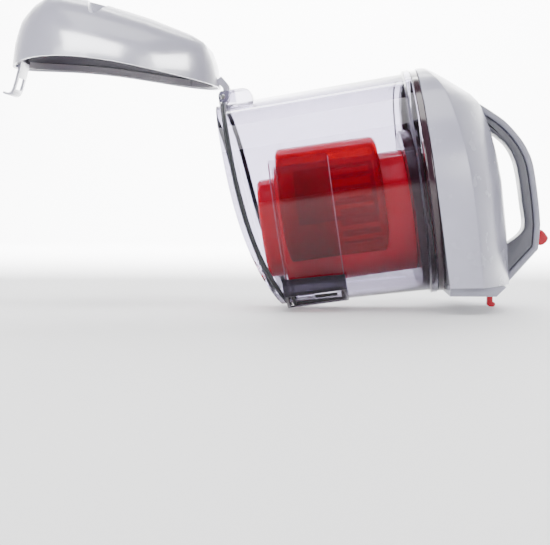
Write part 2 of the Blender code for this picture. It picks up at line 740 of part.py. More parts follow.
def pocket(side, grow):
    """Finger pocket in the lid's edge, on one side."""
    middle, deep, top = 76.5, 45.5 - grow, 66.0
    outline = [(-12.5, top), (-4.0, deep + 3.0), (-1.8, deep + 0.6), (0, deep), (1.8, deep + 0.6), (4.0, deep + 3.0)]
    outline += [(12.5, top)]
    ends = []
    for y in (34 - grow, 100):
        ends.append([lid_at(middle + a + math.copysign(grow, a), side * y, h) for a, h in outline])
    return loft(ends)


def lid_layer(name, outer, inner, rim, mat, pockets=None):
    """A shell between two insets of the lid's form, ending at a distance outside the mouth."""
    layer = add(name, lid_body(outer), mat, LID_AXIS, LID_PIVOT)
    hollow = add(f"{name}_hollow", lid_body(inner), None, LID_AXIS, LID_PIVOT, smooth=False)
    hidden(hollow)
    if pockets == "walled":
        for side in (-1, 1):
            cut(hollow, pocket(side, LID_WALL), LID_AXIS, LID_PIVOT)
    change = layer.modifiers.new("hollow", "BOOLEAN")
    change.operation = "DIFFERENCE"
    change.object = hollow
    cut(layer, rim_cutter(rim), LID_AXIS, LID_PIVOT)
    if pockets:
        for side in (-1, 1):
            cut(layer, pocket(side, 0.0 if pockets == "walled" else LID_WALL + 0.9), LID_AXIS, LID_PIVOT)
    return layer


def lid():
    shell = lid_layer("lid_shell", 0.0, LID_WALL, 0.5, LIGHT_GREY, "walled")
    liner = lid_layer("lid_liner", LID_WALL + 1.0, LID_WALL + 2.8, 8.0, DARK_GREY, "clear")
    seal = lid_layer("lid_seal", LID_WALL + 0.5, LID_WALL + 4.0, 1.6, MID_GREY)
    cut(seal, mouth_cutter(-7.4), LID_AXIS, LID_PIVOT)
    for layer in (liner, seal):
        cut(layer, box(-156, -120, -16.5, 16.5, -95, -77.5), LID_AXIS, LID_PIVOT)
    x, z = PIN
    reach = [(x, z), (x - 5.0, z + 0.6), (x - 9.0, z - 0.9), (x - 12.0, z - 5.0), (x - 14.5, z - 9.0)]
    reach = smooth_line(reach, 2)
    join(shell, prism(thick_line(reach, 5.6), -7.6, 7.6), LID_AXIS, LID_PIVOT)
    join(shell, cylinder_y(x, z, 4.4, -7.6, 7.6, 16), LID_AXIS, LID_PIVOT)
    cut(shell, cylinder_y(x, z, 2.2, -20, 20, 16), LID_AXIS, LID_PIVOT)
    for layer in (liner, seal):
        cut(layer, prism(thick_line(reach, 6.8), -8.2, 8.2), LID_AXIS, LID_PIVOT)
    return shell


CLIP_AT = (-143.0, 0.0, -81.6)
CLIP_AXIS = empty("clip_axis", LID_AXIS, tuple(Vector(CLIP_AT) - Vector(LID_PIVOT)))


def lid_clip():
    """Springy strap whose window snaps over the catch on the bin."""
    line = [(-145.5, -81.8), (-137, -81.4), (-128, -81.2), (-121, -81.4), (-117.6, -82.4), (-115.8, -85.0)]
    line += [(-115.9, -89.2)]
    strap = add("lid_clip", prism(thick_line(line, 2.0), -15, 15), LIGHT_GREY, CLIP_AXIS, CLIP_AT)
    cut(strap, box(-131.5, -121.4, -9.8, 9.8, -90, -70), CLIP_AXIS, CLIP_AT)
    return strap


# ---------------------------------------------------------------- build

dust_cup()
mouth_seal()
hinge_pin()
inlet_port_frame()
port_seal()
inlet_duct()
head_seal()
cyclone_core()
cyclone_tip()
cyclone_drum()
vortex_tube()
spiral_ramp()
window_grille()
flange_disc()
bayonet_ring()
head_shell()
head_plate()
filter_stack()
underside_frame()
tray_screws()
handle_cuts(*handle())
release_button()
button_spring()
latch_hook()
latch_pin()
lid()
lid_clip()


def stand_on_origin():
    """Move the whole container so that its box stands centred on the origin."""
    bpy.context.view_layer.update()
    seen = bpy.context.evaluated_depsgraph_get()
    corners = []
    for made in bpy.context.scene.objects:
        if made.type in {"MESH", "CURVE"} and not made.hide_render:
            solid = made.evaluated_get(seen)
            mesh = solid.to_mesh()
            corners += [made.matrix_world @ v.co for v in mesh.vertices]
            solid.to_mesh_clear()
    low = Vector([min(c[i] for c in corners) for i in range(3)])
    high = Vector([max(c[i] for c in corners) for i in range(3)])
    STAND.location = (-(low.x + high.x) / 2, -(low.y + high.y) / 2, -low.z)


stand_on_origin()
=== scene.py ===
import json
from math import atan2, copysign, cos, dist, pi, radians, sin, sqrt

import bmesh
import bpy
from mathutils import Matrix, Vector


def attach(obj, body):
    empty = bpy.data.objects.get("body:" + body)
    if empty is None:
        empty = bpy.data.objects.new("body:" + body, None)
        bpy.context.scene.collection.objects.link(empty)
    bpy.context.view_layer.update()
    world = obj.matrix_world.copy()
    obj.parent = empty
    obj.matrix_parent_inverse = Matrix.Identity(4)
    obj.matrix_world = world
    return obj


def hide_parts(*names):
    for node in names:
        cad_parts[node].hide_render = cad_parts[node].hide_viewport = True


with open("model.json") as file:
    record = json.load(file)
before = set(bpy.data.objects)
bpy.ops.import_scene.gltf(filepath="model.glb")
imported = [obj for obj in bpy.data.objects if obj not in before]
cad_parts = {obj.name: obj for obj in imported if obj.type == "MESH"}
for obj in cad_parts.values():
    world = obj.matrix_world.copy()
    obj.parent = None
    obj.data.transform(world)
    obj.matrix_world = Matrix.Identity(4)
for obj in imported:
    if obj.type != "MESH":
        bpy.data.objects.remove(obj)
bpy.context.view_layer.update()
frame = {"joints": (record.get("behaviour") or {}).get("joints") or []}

# Shapes are worked out in millimetres in the container's own frame: x along the bin's axis towards
# the head, z towards the lid's hinge, y across. The lid's shapes are worked out closed and then
# turned open.
MM = 0.001
ROUND = 144  # steps round the big turned shapes
GAP = 0.3  # between pieces that don't touch
JOIN, CUT = "UNION", "DIFFERENCE"

# bin: a cone that ends in a slanting, bowed mouth, with a recess for the lid's clip below
WALL = 2.6
MOUTH_RADIUS = 88.1
SEAM_RADIUS = 92.8
CUP_BACK = -6.3
MOUTH_BOW = 7.5
BOW_SKEW = 0.7
MOUTH_MIDDLE = -154.7
MOUTH_SLOPE = -0.191
OPEN_SIDE = -260.0  # x well in front of the mouth
BIN_SIDE = -40.0  # x well behind it
RECESS_HALF = 20.0
RECESS_FLOOR = -79.4
RECESS_END = -110.0

# lid and its hinge
PIN = (-164.6, 94.1)
PIN_HOLE = 2.2
KNUCKLE_HALF = 7.6
LID_WALL = 2.4
LID_HALF = 88.0

# cyclone: two round shapes whose axes lie below the bin's
CORE_Z = -22.0
CORE_RADIUS = 51.4
DRUM_Z = -13.0
DRUM_RADIUS = 57.5
CYCLONE_WALL = 2.2
CYCLONE_GAP = 0.4

# head and handle
HEAD_RADIUS = 95.6
HEAD_WALL = 2.6
SHELL_BOTTOM = 21.0  # over the surface that the container lies on
CONTAINER_AT = Vector((132.6, 0.0, 108.4))
HANDLE_HALF = 15.0


# ---- frames

JOINTS = {joint["name"]: joint for joint in frame["joints"]}
LID_TURN = -radians(min(JOINTS["lid_hinge"]["range_deg"]))
AXIS = Vector(JOINTS["cyclone_twist"]["axis"])
TILT = atan2(AXIS.z, AXIS.x)
TURN = Matrix.Rotation(-TILT, 4, "Y") @ Matrix.Scale(MM, 4)
PIN_POINT = Vector((PIN[0], 0, PIN[1]))
HINGE_AT = Vector(JOINTS["lid_hinge"]["pos_m"])
IN_CONTAINER = Matrix.Translation(HINGE_AT - (TURN @ PIN_POINT)) @ TURN
IN_LID = (
    IN_CONTAINER
    @ Matrix.Translation(PIN_POINT)
    @ Matrix.Rotation(LID_TURN, 4, "Y")
    @ Matrix.Translation(-PIN_POINT)
)
# Level shapes, such as the tray, are given from the surface the container lies on.
STAND_SHIFT = IN_CONTAINER.translation - CONTAINER_AT * MM
LEVEL = Matrix.Translation(STAND_SHIFT) @ Matrix.Scale(MM, 4)


# ---- shapes

def loft(rings):
    """A closed solid through rings of equal length, capped at both ends."""
    bm = bmesh.new()
    rows = [[bm.verts.new(p) for p in ring] for ring in rings]
    count = len(rows[0])
    for low, high in zip(rows, rows[1:]):
        for i in range(count):
            j = (i + 1) % count
            bm.faces.new((low[i], low[j], high[j], high[i]))
    bm.faces.new(rows[0])
    bm.faces.new(rows[-1])
    bmesh.ops.recalc_face_normals(bm, faces=bm.faces)
    return bm


def prism(outline, y0, y1):
    return loft([[(x, y, z) for x, z in outline] for y in (y0, y1)])


def box(x0, x1, y0, y1, z0, z1):
    return prism([(x0, z0), (x1, z0), (x1, z1), (x0, z1)], y0, y1)


def full_turn(steps):
    return [2 * pi * i / steps for i in range(steps)]


def quarter_turn(steps):
    """Angles up to a right angle, without the first."""
    return [pi / 2 * i / steps for i in range(1, steps + 1)]


def circle(across, up, radius, steps):
    return [(across + radius * cos(t), up + radius * sin(t)) for t in full_turn(steps)]


def cylinder_y(x, z, radius, y0, y1):
    return prism(circle(x, z, radius, 48), y0, y1)


def joined_rows(bm, rows):
    """A closed solid through rows of points that run all the way round; points may be shared."""
    for row, following in zip(rows, rows[1:] + rows[:1]):
        for i in range(len(row)):
            j = (i + 1) % len(row)
            corners = list(dict.fromkeys((row[i], row[j], following[j], following[i])))
            if len(corners) > 2:
                bm.faces.new(corners)
    bmesh.ops.recalc_face_normals(bm, faces=bm.faces)
    return bm


def revolve(profile, centre_z=0.0, segments=ROUND):
    """A closed outline of (x, radius) points turned about the line along x at centre_z."""
    bm = bmesh.new()
    on_axis = {i: bm.verts.new((x, 0, centre_z)) for i, (x, r) in enumerate(profile) if r == 0}
    rows = []
    for t in full_turn(segments):
        row = []
        for i, (x, r) in enumerate(profile):
            point = (x, r * cos(t), centre_z + r * sin(t))
            row.append(on_axis.get(i) or bm.verts.new(point))
        rows.append(row)
    return joined_rows(bm, rows)


def rod(x0, x1, radius, centre_z=0.0, segments=ROUND):
    return revolve([(x0, 0), (x0, radius), (x1, radius), (x1, 0)], centre_z, segments)


def sector(x0, x1, inner, outer, start, end, centre_z, steps):
    """Part of a tube wall between two angles in degrees."""
    rings = []
    for i in range(steps + 1):
        t = radians(start + (end - start) * i / steps)
        corners = [(x0, inner), (x1, inner), (x1, outer), (x0, outer)]
        rings.append([(x, r * cos(t), centre_z + r * sin(t)) for x, r in corners])
    return loft(rings)


def rounded(corners, radius, steps=5):
    """A closed outline with every corner rounded."""
    made = []
    most = 0.45  # of a side's length
    neighbours = zip(corners[-1:] + corners[:-1], corners, corners[1:] + corners[:1])
    for before, corner, after in neighbours:
        corner = Vector(corner)
        back, ahead = Vector(before) - corner, Vector(after) - corner
        reach = min(radius, back.length * most, ahead.length * most)
        start, end = corner + back.normalized() * reach, corner + ahead.normalized() * reach
        made += bent(start, corner, end, steps)
    return made


def bent(start, corner, end, steps):
    """Points on the curve that leaves start and reaches end aiming at the corner."""
    turns = [i / steps for i in range(steps + 1)]
    return [tuple(start.lerp(corner, t).lerp(corner.lerp(end, t), t)) for t in turns]


def eased(p, q, r, s, t):
    """Catmull-Rom: from q to r as t goes from 0 to 1."""
    square = (2 * p - 5 * q + 4 * r - s) * t * t
    cube = (3 * q - p - 3 * r + s) * t**3
    return 0.5 * (2 * q + (r - p) * t + square + cube)


def smooth_line(points, steps):
    """A smooth line through the given points, ends kept."""
    ends = [points[0], *points, points[-1]]
    made = []
    for a, b, c, d in zip(ends, ends[1:], ends[2:], ends[3:]):
        for i in range(steps):
            made.append(tuple(eased(p, q, r, s, i / steps) for p, q, r, s in zip(a, b, c, d)))
    return made + [points[-1]]


def offset_line(points, distance):
    """A line in the x-z plane moved sideways."""
    made = []
    for i, point in enumerate(points):
        before = Vector(points[max(i - 1, 0)])
        after = Vector(points[min(i + 1, len(points) - 1)])
        along = (after - before).normalized()
        made.append(tuple(Vector(point) + Vector((along.y, -along.x)) * distance))
    return made


def thick_line(points, width):
    left = offset_line(points, -width / 2)
    right = offset_line(points, width / 2)
    return left + right[::-1]


def between(table, at):
    """A straight-line reading of a table of (key, value) pairs."""
    if at <= table[0][0]:
        return table[0][1]
    for (k0, v0), (k1, v1) in zip(table, table[1:]):
        if at <= k1:
            return v0 + (v1 - v0) * (at - k0) / (k1 - k0)
    return table[-1][1]


def smooth_between(table, at):
    """A smooth reading of a table of (key, value) pairs."""
    keys = [k for k, _ in table]
    values = [v for _, v in table]
    last = len(keys) - 1

    def slope(n):
        low, high = max(n - 1, 0), min(n + 1, last)
        return (values[high] - values[low]) / (keys[high] - keys[low])

    i = max(1, next((n for n, k in enumerate(keys) if k >= at), last))
    span = keys[i] - keys[i - 1]
    t = min(max((at - keys[i - 1]) / span, 0.0), 1.0)
    h = (2 * t**3 - 3 * t**2 + 1, t**3 - 2 * t**2 + t, -2 * t**3 + 3 * t**2, t**3 - t**2)
    ends = h[0] * values[i - 1] + h[1] * span * slope(i - 1)
    return ends + h[2] * values[i] + h[3] * span * slope(i)


def as_object(bm, name="tool"):
    """The shape as an object in the scene; the shape itself is used up."""
    mesh = bpy.data.meshes.new(name)
    bm.to_mesh(mesh)
    bm.free()
    made = bpy.data.objects.new(name, mesh)
    bpy.context.scene.collection.objects.link(made)
    return made


def carve(base, *steps, bevel=None):
    """The base shape after joins and cuts, each given as (operation, shape).

    A bevel is (width, steps, least angle in degrees).
    """
    body = as_object(base)
    tools = []
    for operation, shape in steps:
        tools.append(as_object(shape))
        change = body.modifiers.new("step", "BOOLEAN")
        change.operation = operation
        change.solver = "EXACT"
        change.object = tools[-1]
    if bevel:
        soft = body.modifiers.new("bevel", "BEVEL")
        soft.width, soft.segments, least = bevel
        soft.limit_method = "ANGLE"
        soft.angle_limit = radians(least)
        soft.use_clamp_overlap = True
    seen = bpy.context.evaluated_depsgraph_get()
    solid = body.evaluated_get(seen)
    made = bmesh.new()
    made.from_mesh(solid.to_mesh())
    solid.to_mesh_clear()
    for spare in [body, *tools]:
        bpy.data.objects.remove(spare, do_unlink=True)
    return made


def piece(body, name, bm, slot, material, *nodes, sharp=32, place=IN_CONTAINER):
    """A finished piece, riding on a CAD body in the place of its nodes, sharp above an angle."""
    bmesh.ops.transform(bm, matrix=place, verts=bm.verts)
    made = as_object(bm, name)
    made.data.materials.append(material)
    made.data.shade_smooth()
    made.data.set_sharp_from_angle(angle=radians(sharp))
    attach(made, body)
    if nodes:
        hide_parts(*nodes)


def mouth_x(z, outside=0.0):
    """The bowed edge of the bin's mouth, the same all across y."""
    beyond = 1.2  # the bow goes on a little past the bin's top and foot
    level = max(min(z / MOUTH_RADIUS, beyond), -beyond)
    bow = MOUTH_BOW * (1 - level * level) * (1 - BOW_SKEW * level)
    return MOUTH_MIDDLE + MOUTH_SLOPE * z - bow - outside


def mouth_side(outside, reach):
    """All that lies between a line outside the mouth's edge and x = reach."""
    span, steps = 110.0, 64
    levels = [-span + 2 * span * i / steps for i in range(steps + 1)]
    curve = [(mouth_x(z, outside), z) for z in levels]
    return prism([(reach, -span)] + curve + [(reach, span)], -120, 120)


# ---- materials

def start_material(name):
    made = bpy.data.materials.new(name)
    made.use_nodes = True
    tree = made.node_tree
    return made, tree, tree.nodes["Principled BSDF"]


def added(tree, kind, **values):
    """A new node with its inputs set; an underscore in a name stands for a space."""
    node = tree.nodes.new(kind)
    for name, value in values.items():
        node.inputs[name.replace("_", " ")].default_value = value
    return node


def noise(tree, scale, detail=3.0, stretch=(1.0, 1.0, 1.0)):
    """Grey noise in the piece's own metres; the scale is cells per metre."""
    where = added(tree, "ShaderNodeTexCoord")
    place = added(tree, "ShaderNodeMapping", Scale=stretch)
    grain = added(tree, "ShaderNodeTexNoise", Scale=scale, Detail=detail)
    tree.links.new(where.outputs["Object"], place.inputs["Vector"])
    tree.links.new(place.outputs["Vector"], grain.inputs["Vector"])
    return grain.outputs["Fac"]


def spread(tree, value, low, high, start=0.3, end=0.7):
    """The value carried from start..end to low..high."""
    ends = dict(From_Min=start, From_Max=end, To_Min=low, To_Max=high)
    node = added(tree, "ShaderNodeMapRange", **ends)
    tree.links.new(value, node.inputs["Value"])
    return node.outputs["Result"]


def mixed(tree, factor, first, second):
    """A colour between two, each of them given as numbers or as a socket."""
    node = added(tree, "ShaderNodeMix")
    node.data_type = "RGBA"
    tree.links.new(factor, node.inputs["Factor"])
    for value, slot in ((first, "A"), (second, "B")):
        target = next(s for s in node.inputs if s.name == slot and s.type == "RGBA")
        if isinstance(value, tuple):
            target.default_value = (*value, 1.0)
        else:
            tree.links.new(value, target)
    return next(s for s in node.outputs if s.type == "RGBA")


def scaled(colour, by):
    return tuple(min(c * by, 1.0) for c in colour)


def painted(tree, shader, colour):
    tree.links.new(colour, shader.inputs["Base Color"])


def dulled(tree, shader, value, low, high):
    """Roughness that follows a grey value."""
    tree.links.new(spread(tree, value, low, high), shader.inputs["Roughness"])


def bumped(tree, shader, height, strength, distance):
    """Small relief that follows a grey value; the distance is in metres."""
    node = added(tree, "ShaderNodeBump", Strength=strength, Distance=distance)
    tree.links.new(height, node.inputs["Height"])
    tree.links.new(node.outputs["Normal"], shader.inputs["Normal"])


def blended(tree, factor, first, second):
    """The piece's surface: the first shader, and the second as far as the factor says."""
    blend = added(tree, "ShaderNodeMixShader")
    if isinstance(factor, float):
        blend.inputs["Fac"].default_value = factor
    else:
        tree.links.new(factor, blend.inputs["Fac"])
    output = next(node for node in tree.nodes if node.type == "OUTPUT_MATERIAL")
    tree.links.new(first.outputs["BSDF"], blend.inputs[1])
    tree.links.new(second.outputs["BSDF"], blend.inputs[2])
    tree.links.new(blend.outputs["Shader"], output.inputs["Surface"])


def worn_edges(tree, colour, pale, amount):
    """The colour with sharp outer edges rubbed paler."""
    shape = added(tree, "ShaderNodeNewGeometry")
    edge = spread(tree, shape.outputs["Pointiness"], 0.0, amount, start=0.52, end=0.6)
    return mixed(tree, edge, colour, pale)


def plastic(name, colour, roughness, bump, grain=700.0, vary=0.04, wear=0.35, coat=0.0):
    """Moulded plastic: faint flow marks, uneven gloss, fine grain and rubbed edges."""
    made, tree, shader = start_material(name)
    flow = mixed(tree, noise(tree, scale=22.0), scaled(colour, 1 - vary), scaled(colour, 1 + vary))
    painted(tree, shader, worn_edges(tree, flow, scaled(colour, 1.35), wear))
    smudges = noise(tree, scale=60.0, detail=5.0)
    dulled(tree, shader, smudges, roughness * 0.85, roughness * 1.2)
    shader.inputs["Coat Weight"].default_value = coat
    shader.inputs["Coat Roughness"].default_value = 0.08
    bumped(tree, shader, noise(tree, scale=grain, detail=2.0), bump, distance=0.0001)
    return made


def glass(name, colour, roughness, shade, ior):
    """Clear moulding with soft streaks, faint smudges and slight waves.

    Shadow rays pass, tinted with the shade, so that what is inside the clear piece is lit.
    """
    made, tree, shader = start_material(name)
    streaks = noise(tree, scale=14.0, detail=2.0)
    painted(tree, shader, mixed(tree, streaks, scaled(colour, 0.98), scaled(colour, 1.02)))
    smudges = noise(tree, scale=45.0, detail=6.0)
    dulled(tree, shader, smudges, roughness * 0.6, roughness * 1.8)
    shader.inputs["Transmission Weight"].default_value = 1.0
    shader.inputs["IOR"].default_value = ior
    bumped(tree, shader, noise(tree, scale=30.0, detail=1.0), strength=0.02, distance=0.0002)
    path = added(tree, "ShaderNodeLightPath")
    clear = added(tree, "ShaderNodeBsdfTransparent", Color=(*shade, 1.0))
    blended(tree, path.outputs["Is Shadow Ray"], shader, clear)
    return made


def wall_face(name, colour, darkest, roughness):
    """The face of a coloured wall: soft streaks, faint smudges and slight waves."""
    made, tree, shader = start_material(name)
    streaks = noise(tree, scale=16.0, detail=2.0)
    painted(tree, shader, mixed(tree, streaks, scaled(colour, darkest), scaled(colour, 1.1)))
    smudges = noise(tree, scale=50.0, detail=5.0)
    dulled(tree, shader, smudges, roughness * 0.6, roughness * 1.8)
    bumped(tree, shader, noise(tree, scale=34.0, detail=1.0), strength=0.03, distance=0.0002)
    return made, tree, shader


def tinted(name, colour, passes, body, edge):
    """Thin clear wall in a deep colour: light goes straight through, tinted by what passes.

    Part of it stops in the wall, as a share from body, seen head on, to edge, seen from the side.
    """
    made, tree, shader = wall_face(name, colour, darkest=0.9, roughness=0.06)
    shader.inputs["IOR"].default_value = 1.4
    through = added(tree, "ShaderNodeBsdfTransparent")
    tint = mixed(tree, noise(tree, scale=12.0, detail=2.0), scaled(passes, 0.96), passes)
    tree.links.new(tint, through.inputs["Color"])
    facing = added(tree, "ShaderNodeLayerWeight", Blend=0.35)
    share = spread(tree, facing.outputs["Facing"], body, edge, start=0.3, end=1.0)
    blended(tree, share, through, shader)
    return made


def glowing(name, colour, passes):
    """Cloudy coloured plastic that lets the light from behind glow in it."""
    made, tree, shader = wall_face(name, colour, darkest=0.88, roughness=0.1)
    inner = added(tree, "ShaderNodeBsdfTranslucent")
    tint = mixed(tree, noise(tree, scale=12.0, detail=2.0), scaled(passes, 0.9), passes)
    tree.links.new(tint, inner.inputs["Color"])
    blended(tree, 0.45, shader, inner)
    return made


def rubber(name, colour):
    """Soft black rubber: dust in the colour, rubbed edges and a fine grain."""
    made, tree, shader = start_material(name)
    dust = mixed(tree, noise(tree, scale=90.0, detail=6.0), colour, scaled(colour, 1.9))
    painted(tree, shader, worn_edges(tree, dust, scaled(colour, 3.0), 0.5))
    dulled(tree, shader, noise(tree, scale=160.0, detail=4.0), 0.4, 0.625)
    bumped(tree, shader, noise(tree, scale=2600.0, detail=3.0), strength=0.25, distance=0.00012)
    return made


def metal(name, colour, roughness):
    """Turned steel: fine lines round the piece and a little dulling."""
    made, tree, shader = start_material(name)
    lines = noise(tree, scale=900.0, detail=4.0, stretch=(1.0, 0.06, 1.0))
    painted(tree, shader, mixed(tree, lines, scaled(colour, 0.8), colour))
    dulled(tree, shader, lines, roughness * 0.7, roughness * 1.5)
    shader.inputs["Metallic"].default_value = 1.0
    bumped(tree, shader, lines, strength=0.2, distance=0.00005)
    return made


def paper(name, colour):
    """Filter paper: matted fibres."""
    made, tree, shader = start_material(name)
    fibres = noise(tree, scale=1800.0, detail=8.0, stretch=(1.0, 3.0, 1.0))
    painted(tree, shader, mixed(tree, fibres, scaled(colour, 0.82), colour))
    dulled(tree, shader, fibres, 0.8, 0.98)
    bumped(tree, shader, fibres, strength=0.6, distance=0.0002)
    return made


def foam(name, colour):
    """Open foam: small round pores."""
    made, tree, shader = start_material(name)
    where = added(tree, "ShaderNodeTexCoord")
    pores = added(tree, "ShaderNodeTexVoronoi", Scale=900.0)
    tree.links.new(where.outputs["Object"], pores.inputs["Vector"])
    depth = pores.outputs["Distance"]
    painted(tree, shader, mixed(tree, depth, scaled(colour, 0.5), scaled(colour, 1.8)))
    dull = spread(tree, depth, 0.85, 1.0, start=0.0, end=1.0)
    tree.links.new(dull, shader.inputs["Roughness"])
    bumped(tree, shader, depth, strength=0.8, distance=0.0004)
    return made


def plain(name, colour, roughness):
    """The floor's even paint."""
    made, tree, shader = start_material(name)
    painted(tree, shader, mixed(tree, noise(tree, scale=3.0), scaled(colour, 0.99), colour))
    shader.inputs["Roughness"].default_value = roughness
    return made


CLEAR = glass("clear moulding", (0.50, 0.48, 0.565), 0.02, shade=(0.95, 0.95, 0.96), ior=1.34)

# see-through walls: their own colour, and the colour of the light that passes
DUCT_CLEAR = tinted("clear channel", (0.42, 0.13, 0.17), (0.96, 0.90, 0.92), body=0.015, edge=0.75)
# painted highlight: thin strips along the channel's edges, in a paler, denser tint, stand in for
# the bright lines there
CHANNEL_HIGHLIGHT = tinted("painted channel highlight", (0.62, 0.26, 0.32), (0.55, 0.35, 0.40), body=0.55, edge=0.9)
SMOKED = tinted("smoked moulding", (0.055, 0.05, 0.065), (0.34, 0.32, 0.36), body=0.3, edge=0.8)
RED_CLEAR = tinted("clear red moulding", (0.8, 0.0, 0.035), (0.74, 0.0, 0.03), body=0.19, edge=0.8)
TIP_RED = tinted("clear red cap", (0.8, 0.0, 0.04), (0.72, 0.0, 0.03), body=0.38, edge=0.95)
CORE_RED = glowing("cloudy red moulding", (1.0, 0.0, 0.035), (1.0, 0.0, 0.04))

# opaque plastics: colour and roughness
RED = plastic("red moulding", (0.42, 0.001, 0.014), 0.3, bump=0.08, vary=0.06)
INNER_RED = plastic("dark red moulding", (0.30, 0.0, 0.012), 0.35, bump=0.06, vary=0.08)
WINDOW_RED = plastic("window moulding", (0.10, 0.001, 0.012), 0.3, bump=0.06, vary=0.08)
PLUM = plastic("plum moulding", (0.035, 0.006, 0.014), 0.2, bump=0.06, vary=0.1, wear=0.2)
GASKET = plastic("gasket", (0.03, 0.012, 0.02), 0.16, bump=0.06, vary=0.1, wear=0.2, coat=0.6)
LIGHT_GREY = plastic(
    "light grey moulding", (0.385, 0.38, 0.465), 0.22, bump=0.05, vary=0.015, wear=0.3, coat=0.15
)
# a darker copy of the light grey for the head cover: painted shade on its side
HEAD_SHADED_GREY = plastic(
    "head moulding with painted shade", (0.35, 0.345, 0.43), 0.24, bump=0.05, vary=0.015, wear=0.5, coat=0.15
)
TRAY_GREY = plastic("grey tray moulding", (0.33, 0.33, 0.40), 0.38, bump=0.15)
STRIP_GREY = plastic("mid grey moulding", (0.27, 0.27, 0.33), 0.36, bump=0.2, grain=1500.0)
SEAL_GREY = plastic("lid lip", (0.16, 0.15, 0.17), 0.3, bump=0.1)
GRIP_GREY = plastic("grip moulding", (0.095, 0.095, 0.115), 0.42, bump=0.3, grain=1800.0, vary=0.05)
# the liner's near-black grey is partly its own colour and partly painted shade for the inside of
# the open lid
LINER_AND_SHADE_GREY = plastic("lid liner with painted shade", (0.085, 0.08, 0.1), 0.4, bump=0.2, grain=1200.0)
PLATE_GREY = plastic("bulkhead moulding", (0.10, 0.10, 0.115), 0.5, bump=0.25, grain=1200.0)

BLACK_RUBBER = rubber("black rubber", (0.012, 0.013, 0.016))
STEEL = metal("steel", (0.62, 0.62, 0.64), 0.28)
PAPER = paper("filter paper", (0.82, 0.80, 0.72))
FOAM = foam("filter foam", (0.06, 0.06, 0.065))
FLOOR = plain("pale floor", (0.93, 0.93, 0.935), 0.6)


# ---- more shapes

def shrunk(outline, distance):
    """A closed outline moved inwards."""
    following = outline[1:] + outline[:1]
    area = sum(a[0] * b[1] - b[0] * a[1] for a, b in zip(outline, following))
    inward = copysign(distance, area)
    made = []
    for before, point, after in zip(outline[-1:] + outline[:-1], outline, following):
        a = (Vector(point) - Vector(before)).normalized()
        b = (Vector(after) - Vector(point)).normalized()
        normal = Vector((-a.y - b.y, a.x + b.x)).normalized()
        made.append(tuple(Vector(point) + normal * inward))
    return made


def soft_prism(outline, y0, y1, radius, steps=4):
    """An outline of (x, z) points drawn out along y, its end edges rounded."""
    rings = []
    for end, way in ((y0, 1), (y1, -1)):
        part = []
        for i in range(steps + 1):
            t = pi / 2 * i / steps
            flat = shrunk(outline, radius * (1 - sin(t)))
            y = end + way * radius * (1 - cos(t))
            part.append([(x, y, z) for x, z in flat])
        rings += part if way == 1 else part[::-1]
    return loft(rings)


def ring(x0, x1, inner, outer, soft=0.5, steps=3):
    """The outline of a ring with rounded edges."""
    return rounded([(x0, outer), (x1, outer), (x1, inner), (x0, inner)], soft, steps)


def band_near_mouth(inner, outer, front, back):
    """A band round the bin that follows the bowed mouth, built from its cross-section."""
    taper = (SEAM_RADIUS - MOUTH_RADIUS) / 168.0
    bm = bmesh.new()
    rows = []
    for t in full_turn(ROUND):
        row = []
        for deep, high in band_section(inner, outer, front, back):
            radius = MOUTH_RADIUS + high
            radius += (mouth_x(radius * sin(t), -deep) + 180.0) * taper
            y, z = radius * cos(t), radius * sin(t)
            row.append(bm.verts.new((mouth_x(z, -deep), y, z)))
        rows.append(row)
    return joined_rows(bm, rows)


def band_section(inner, outer, front, back):
    """Points of (distance behind the mouth, height): two round ribs with a groove between."""
    middle, groove = (front + back) / 2, outer - 0.9
    quarter = (back - front) / 4
    line = [(front, inner)]
    for centre in (front + quarter, back - quarter):
        for i in range(9):
            t = pi * i / 8
            along = centre - quarter * 0.94 * cos(t)
            line.append((along, groove + (outer - groove) * sin(t)))
    return line + [(back, inner), (middle, inner)]


# ---- bin

BLOCK_HALF = 19.0
PORT_X = (-133.6, -81.6)
PORT_Y = (-62.0, -22.0)
PORT_NEAR_Z = -79.2
PORT_FAR_Z = -91.2
INLET = (-54.1, -29.9)  # the inlet hole from near to far side
CHANNEL = dict(centre_z=0.0, steps=48)  # the channel lies round the bin's own axis


def dust_cup():
    outer = [(-180, 0), (-180, MOUTH_RADIUS), (-14.5, SEAM_RADIUS - 0.1)]
    outer += [(-13.0, 93.2), (-12.2, 94.2), (-12, 94.7), (-11.4, 95.3), (-6.9, 95.3)]
    outer += [(CUP_BACK, 94.7), (CUP_BACK, 0)]
    inner = [(-190, 0), (-190, MOUTH_RADIUS - WALL - 0.3), (0, SEAM_RADIUS - WALL + 0.3), (0, 0)]
    block = [(-168.5, 83), (-168.5, 96), (-166.5, 99.2), (-147, 99.2), (-142.5, 97.6)]
    block += [(-140, 93.5), (-139.2, 83)]
    inlet_boss = box(-127, -88, -56.5, -27.5, -77, -60)
    thick = 2.4
    half = RECESS_HALF + thick
    recess_wall = box(-150, RECESS_END + thick, -half, half, -84.4, RECESS_FLOOR + thick)
    recess = box(-165, RECESS_END, -RECESS_HALF, RECESS_HALF, -100, RECESS_FLOOR)
    catch = [(-128, -78.5), (-124.5, -81.6), (-123, -81.6), (-123, -78.5)]
    knuckle_slot = box(-180, -154.4, -8.3, 8.3, 88.9, 104)
    return carve(
        revolve(outer),
        (JOIN, soft_prism(rounded(block, 2.4), -BLOCK_HALF, BLOCK_HALF, 2.2)),
        (JOIN, inlet_boss),
        (CUT, revolve(inner)),
        (JOIN, recess_wall),
        (CUT, recess),
        (JOIN, prism(catch, -9, 9)),
        (CUT, box(-124.6, -90.4, *INLET, -100, -50)),
        (CUT, knuckle_slot),
        (CUT, cylinder_y(*PIN, PIN_HOLE, -30, 30)),
        (CUT, seal_channel(0.2, 2.8, 4.1, 8.9)),
        (CUT, mouth_side(0.0, OPEN_SIDE)),
    )


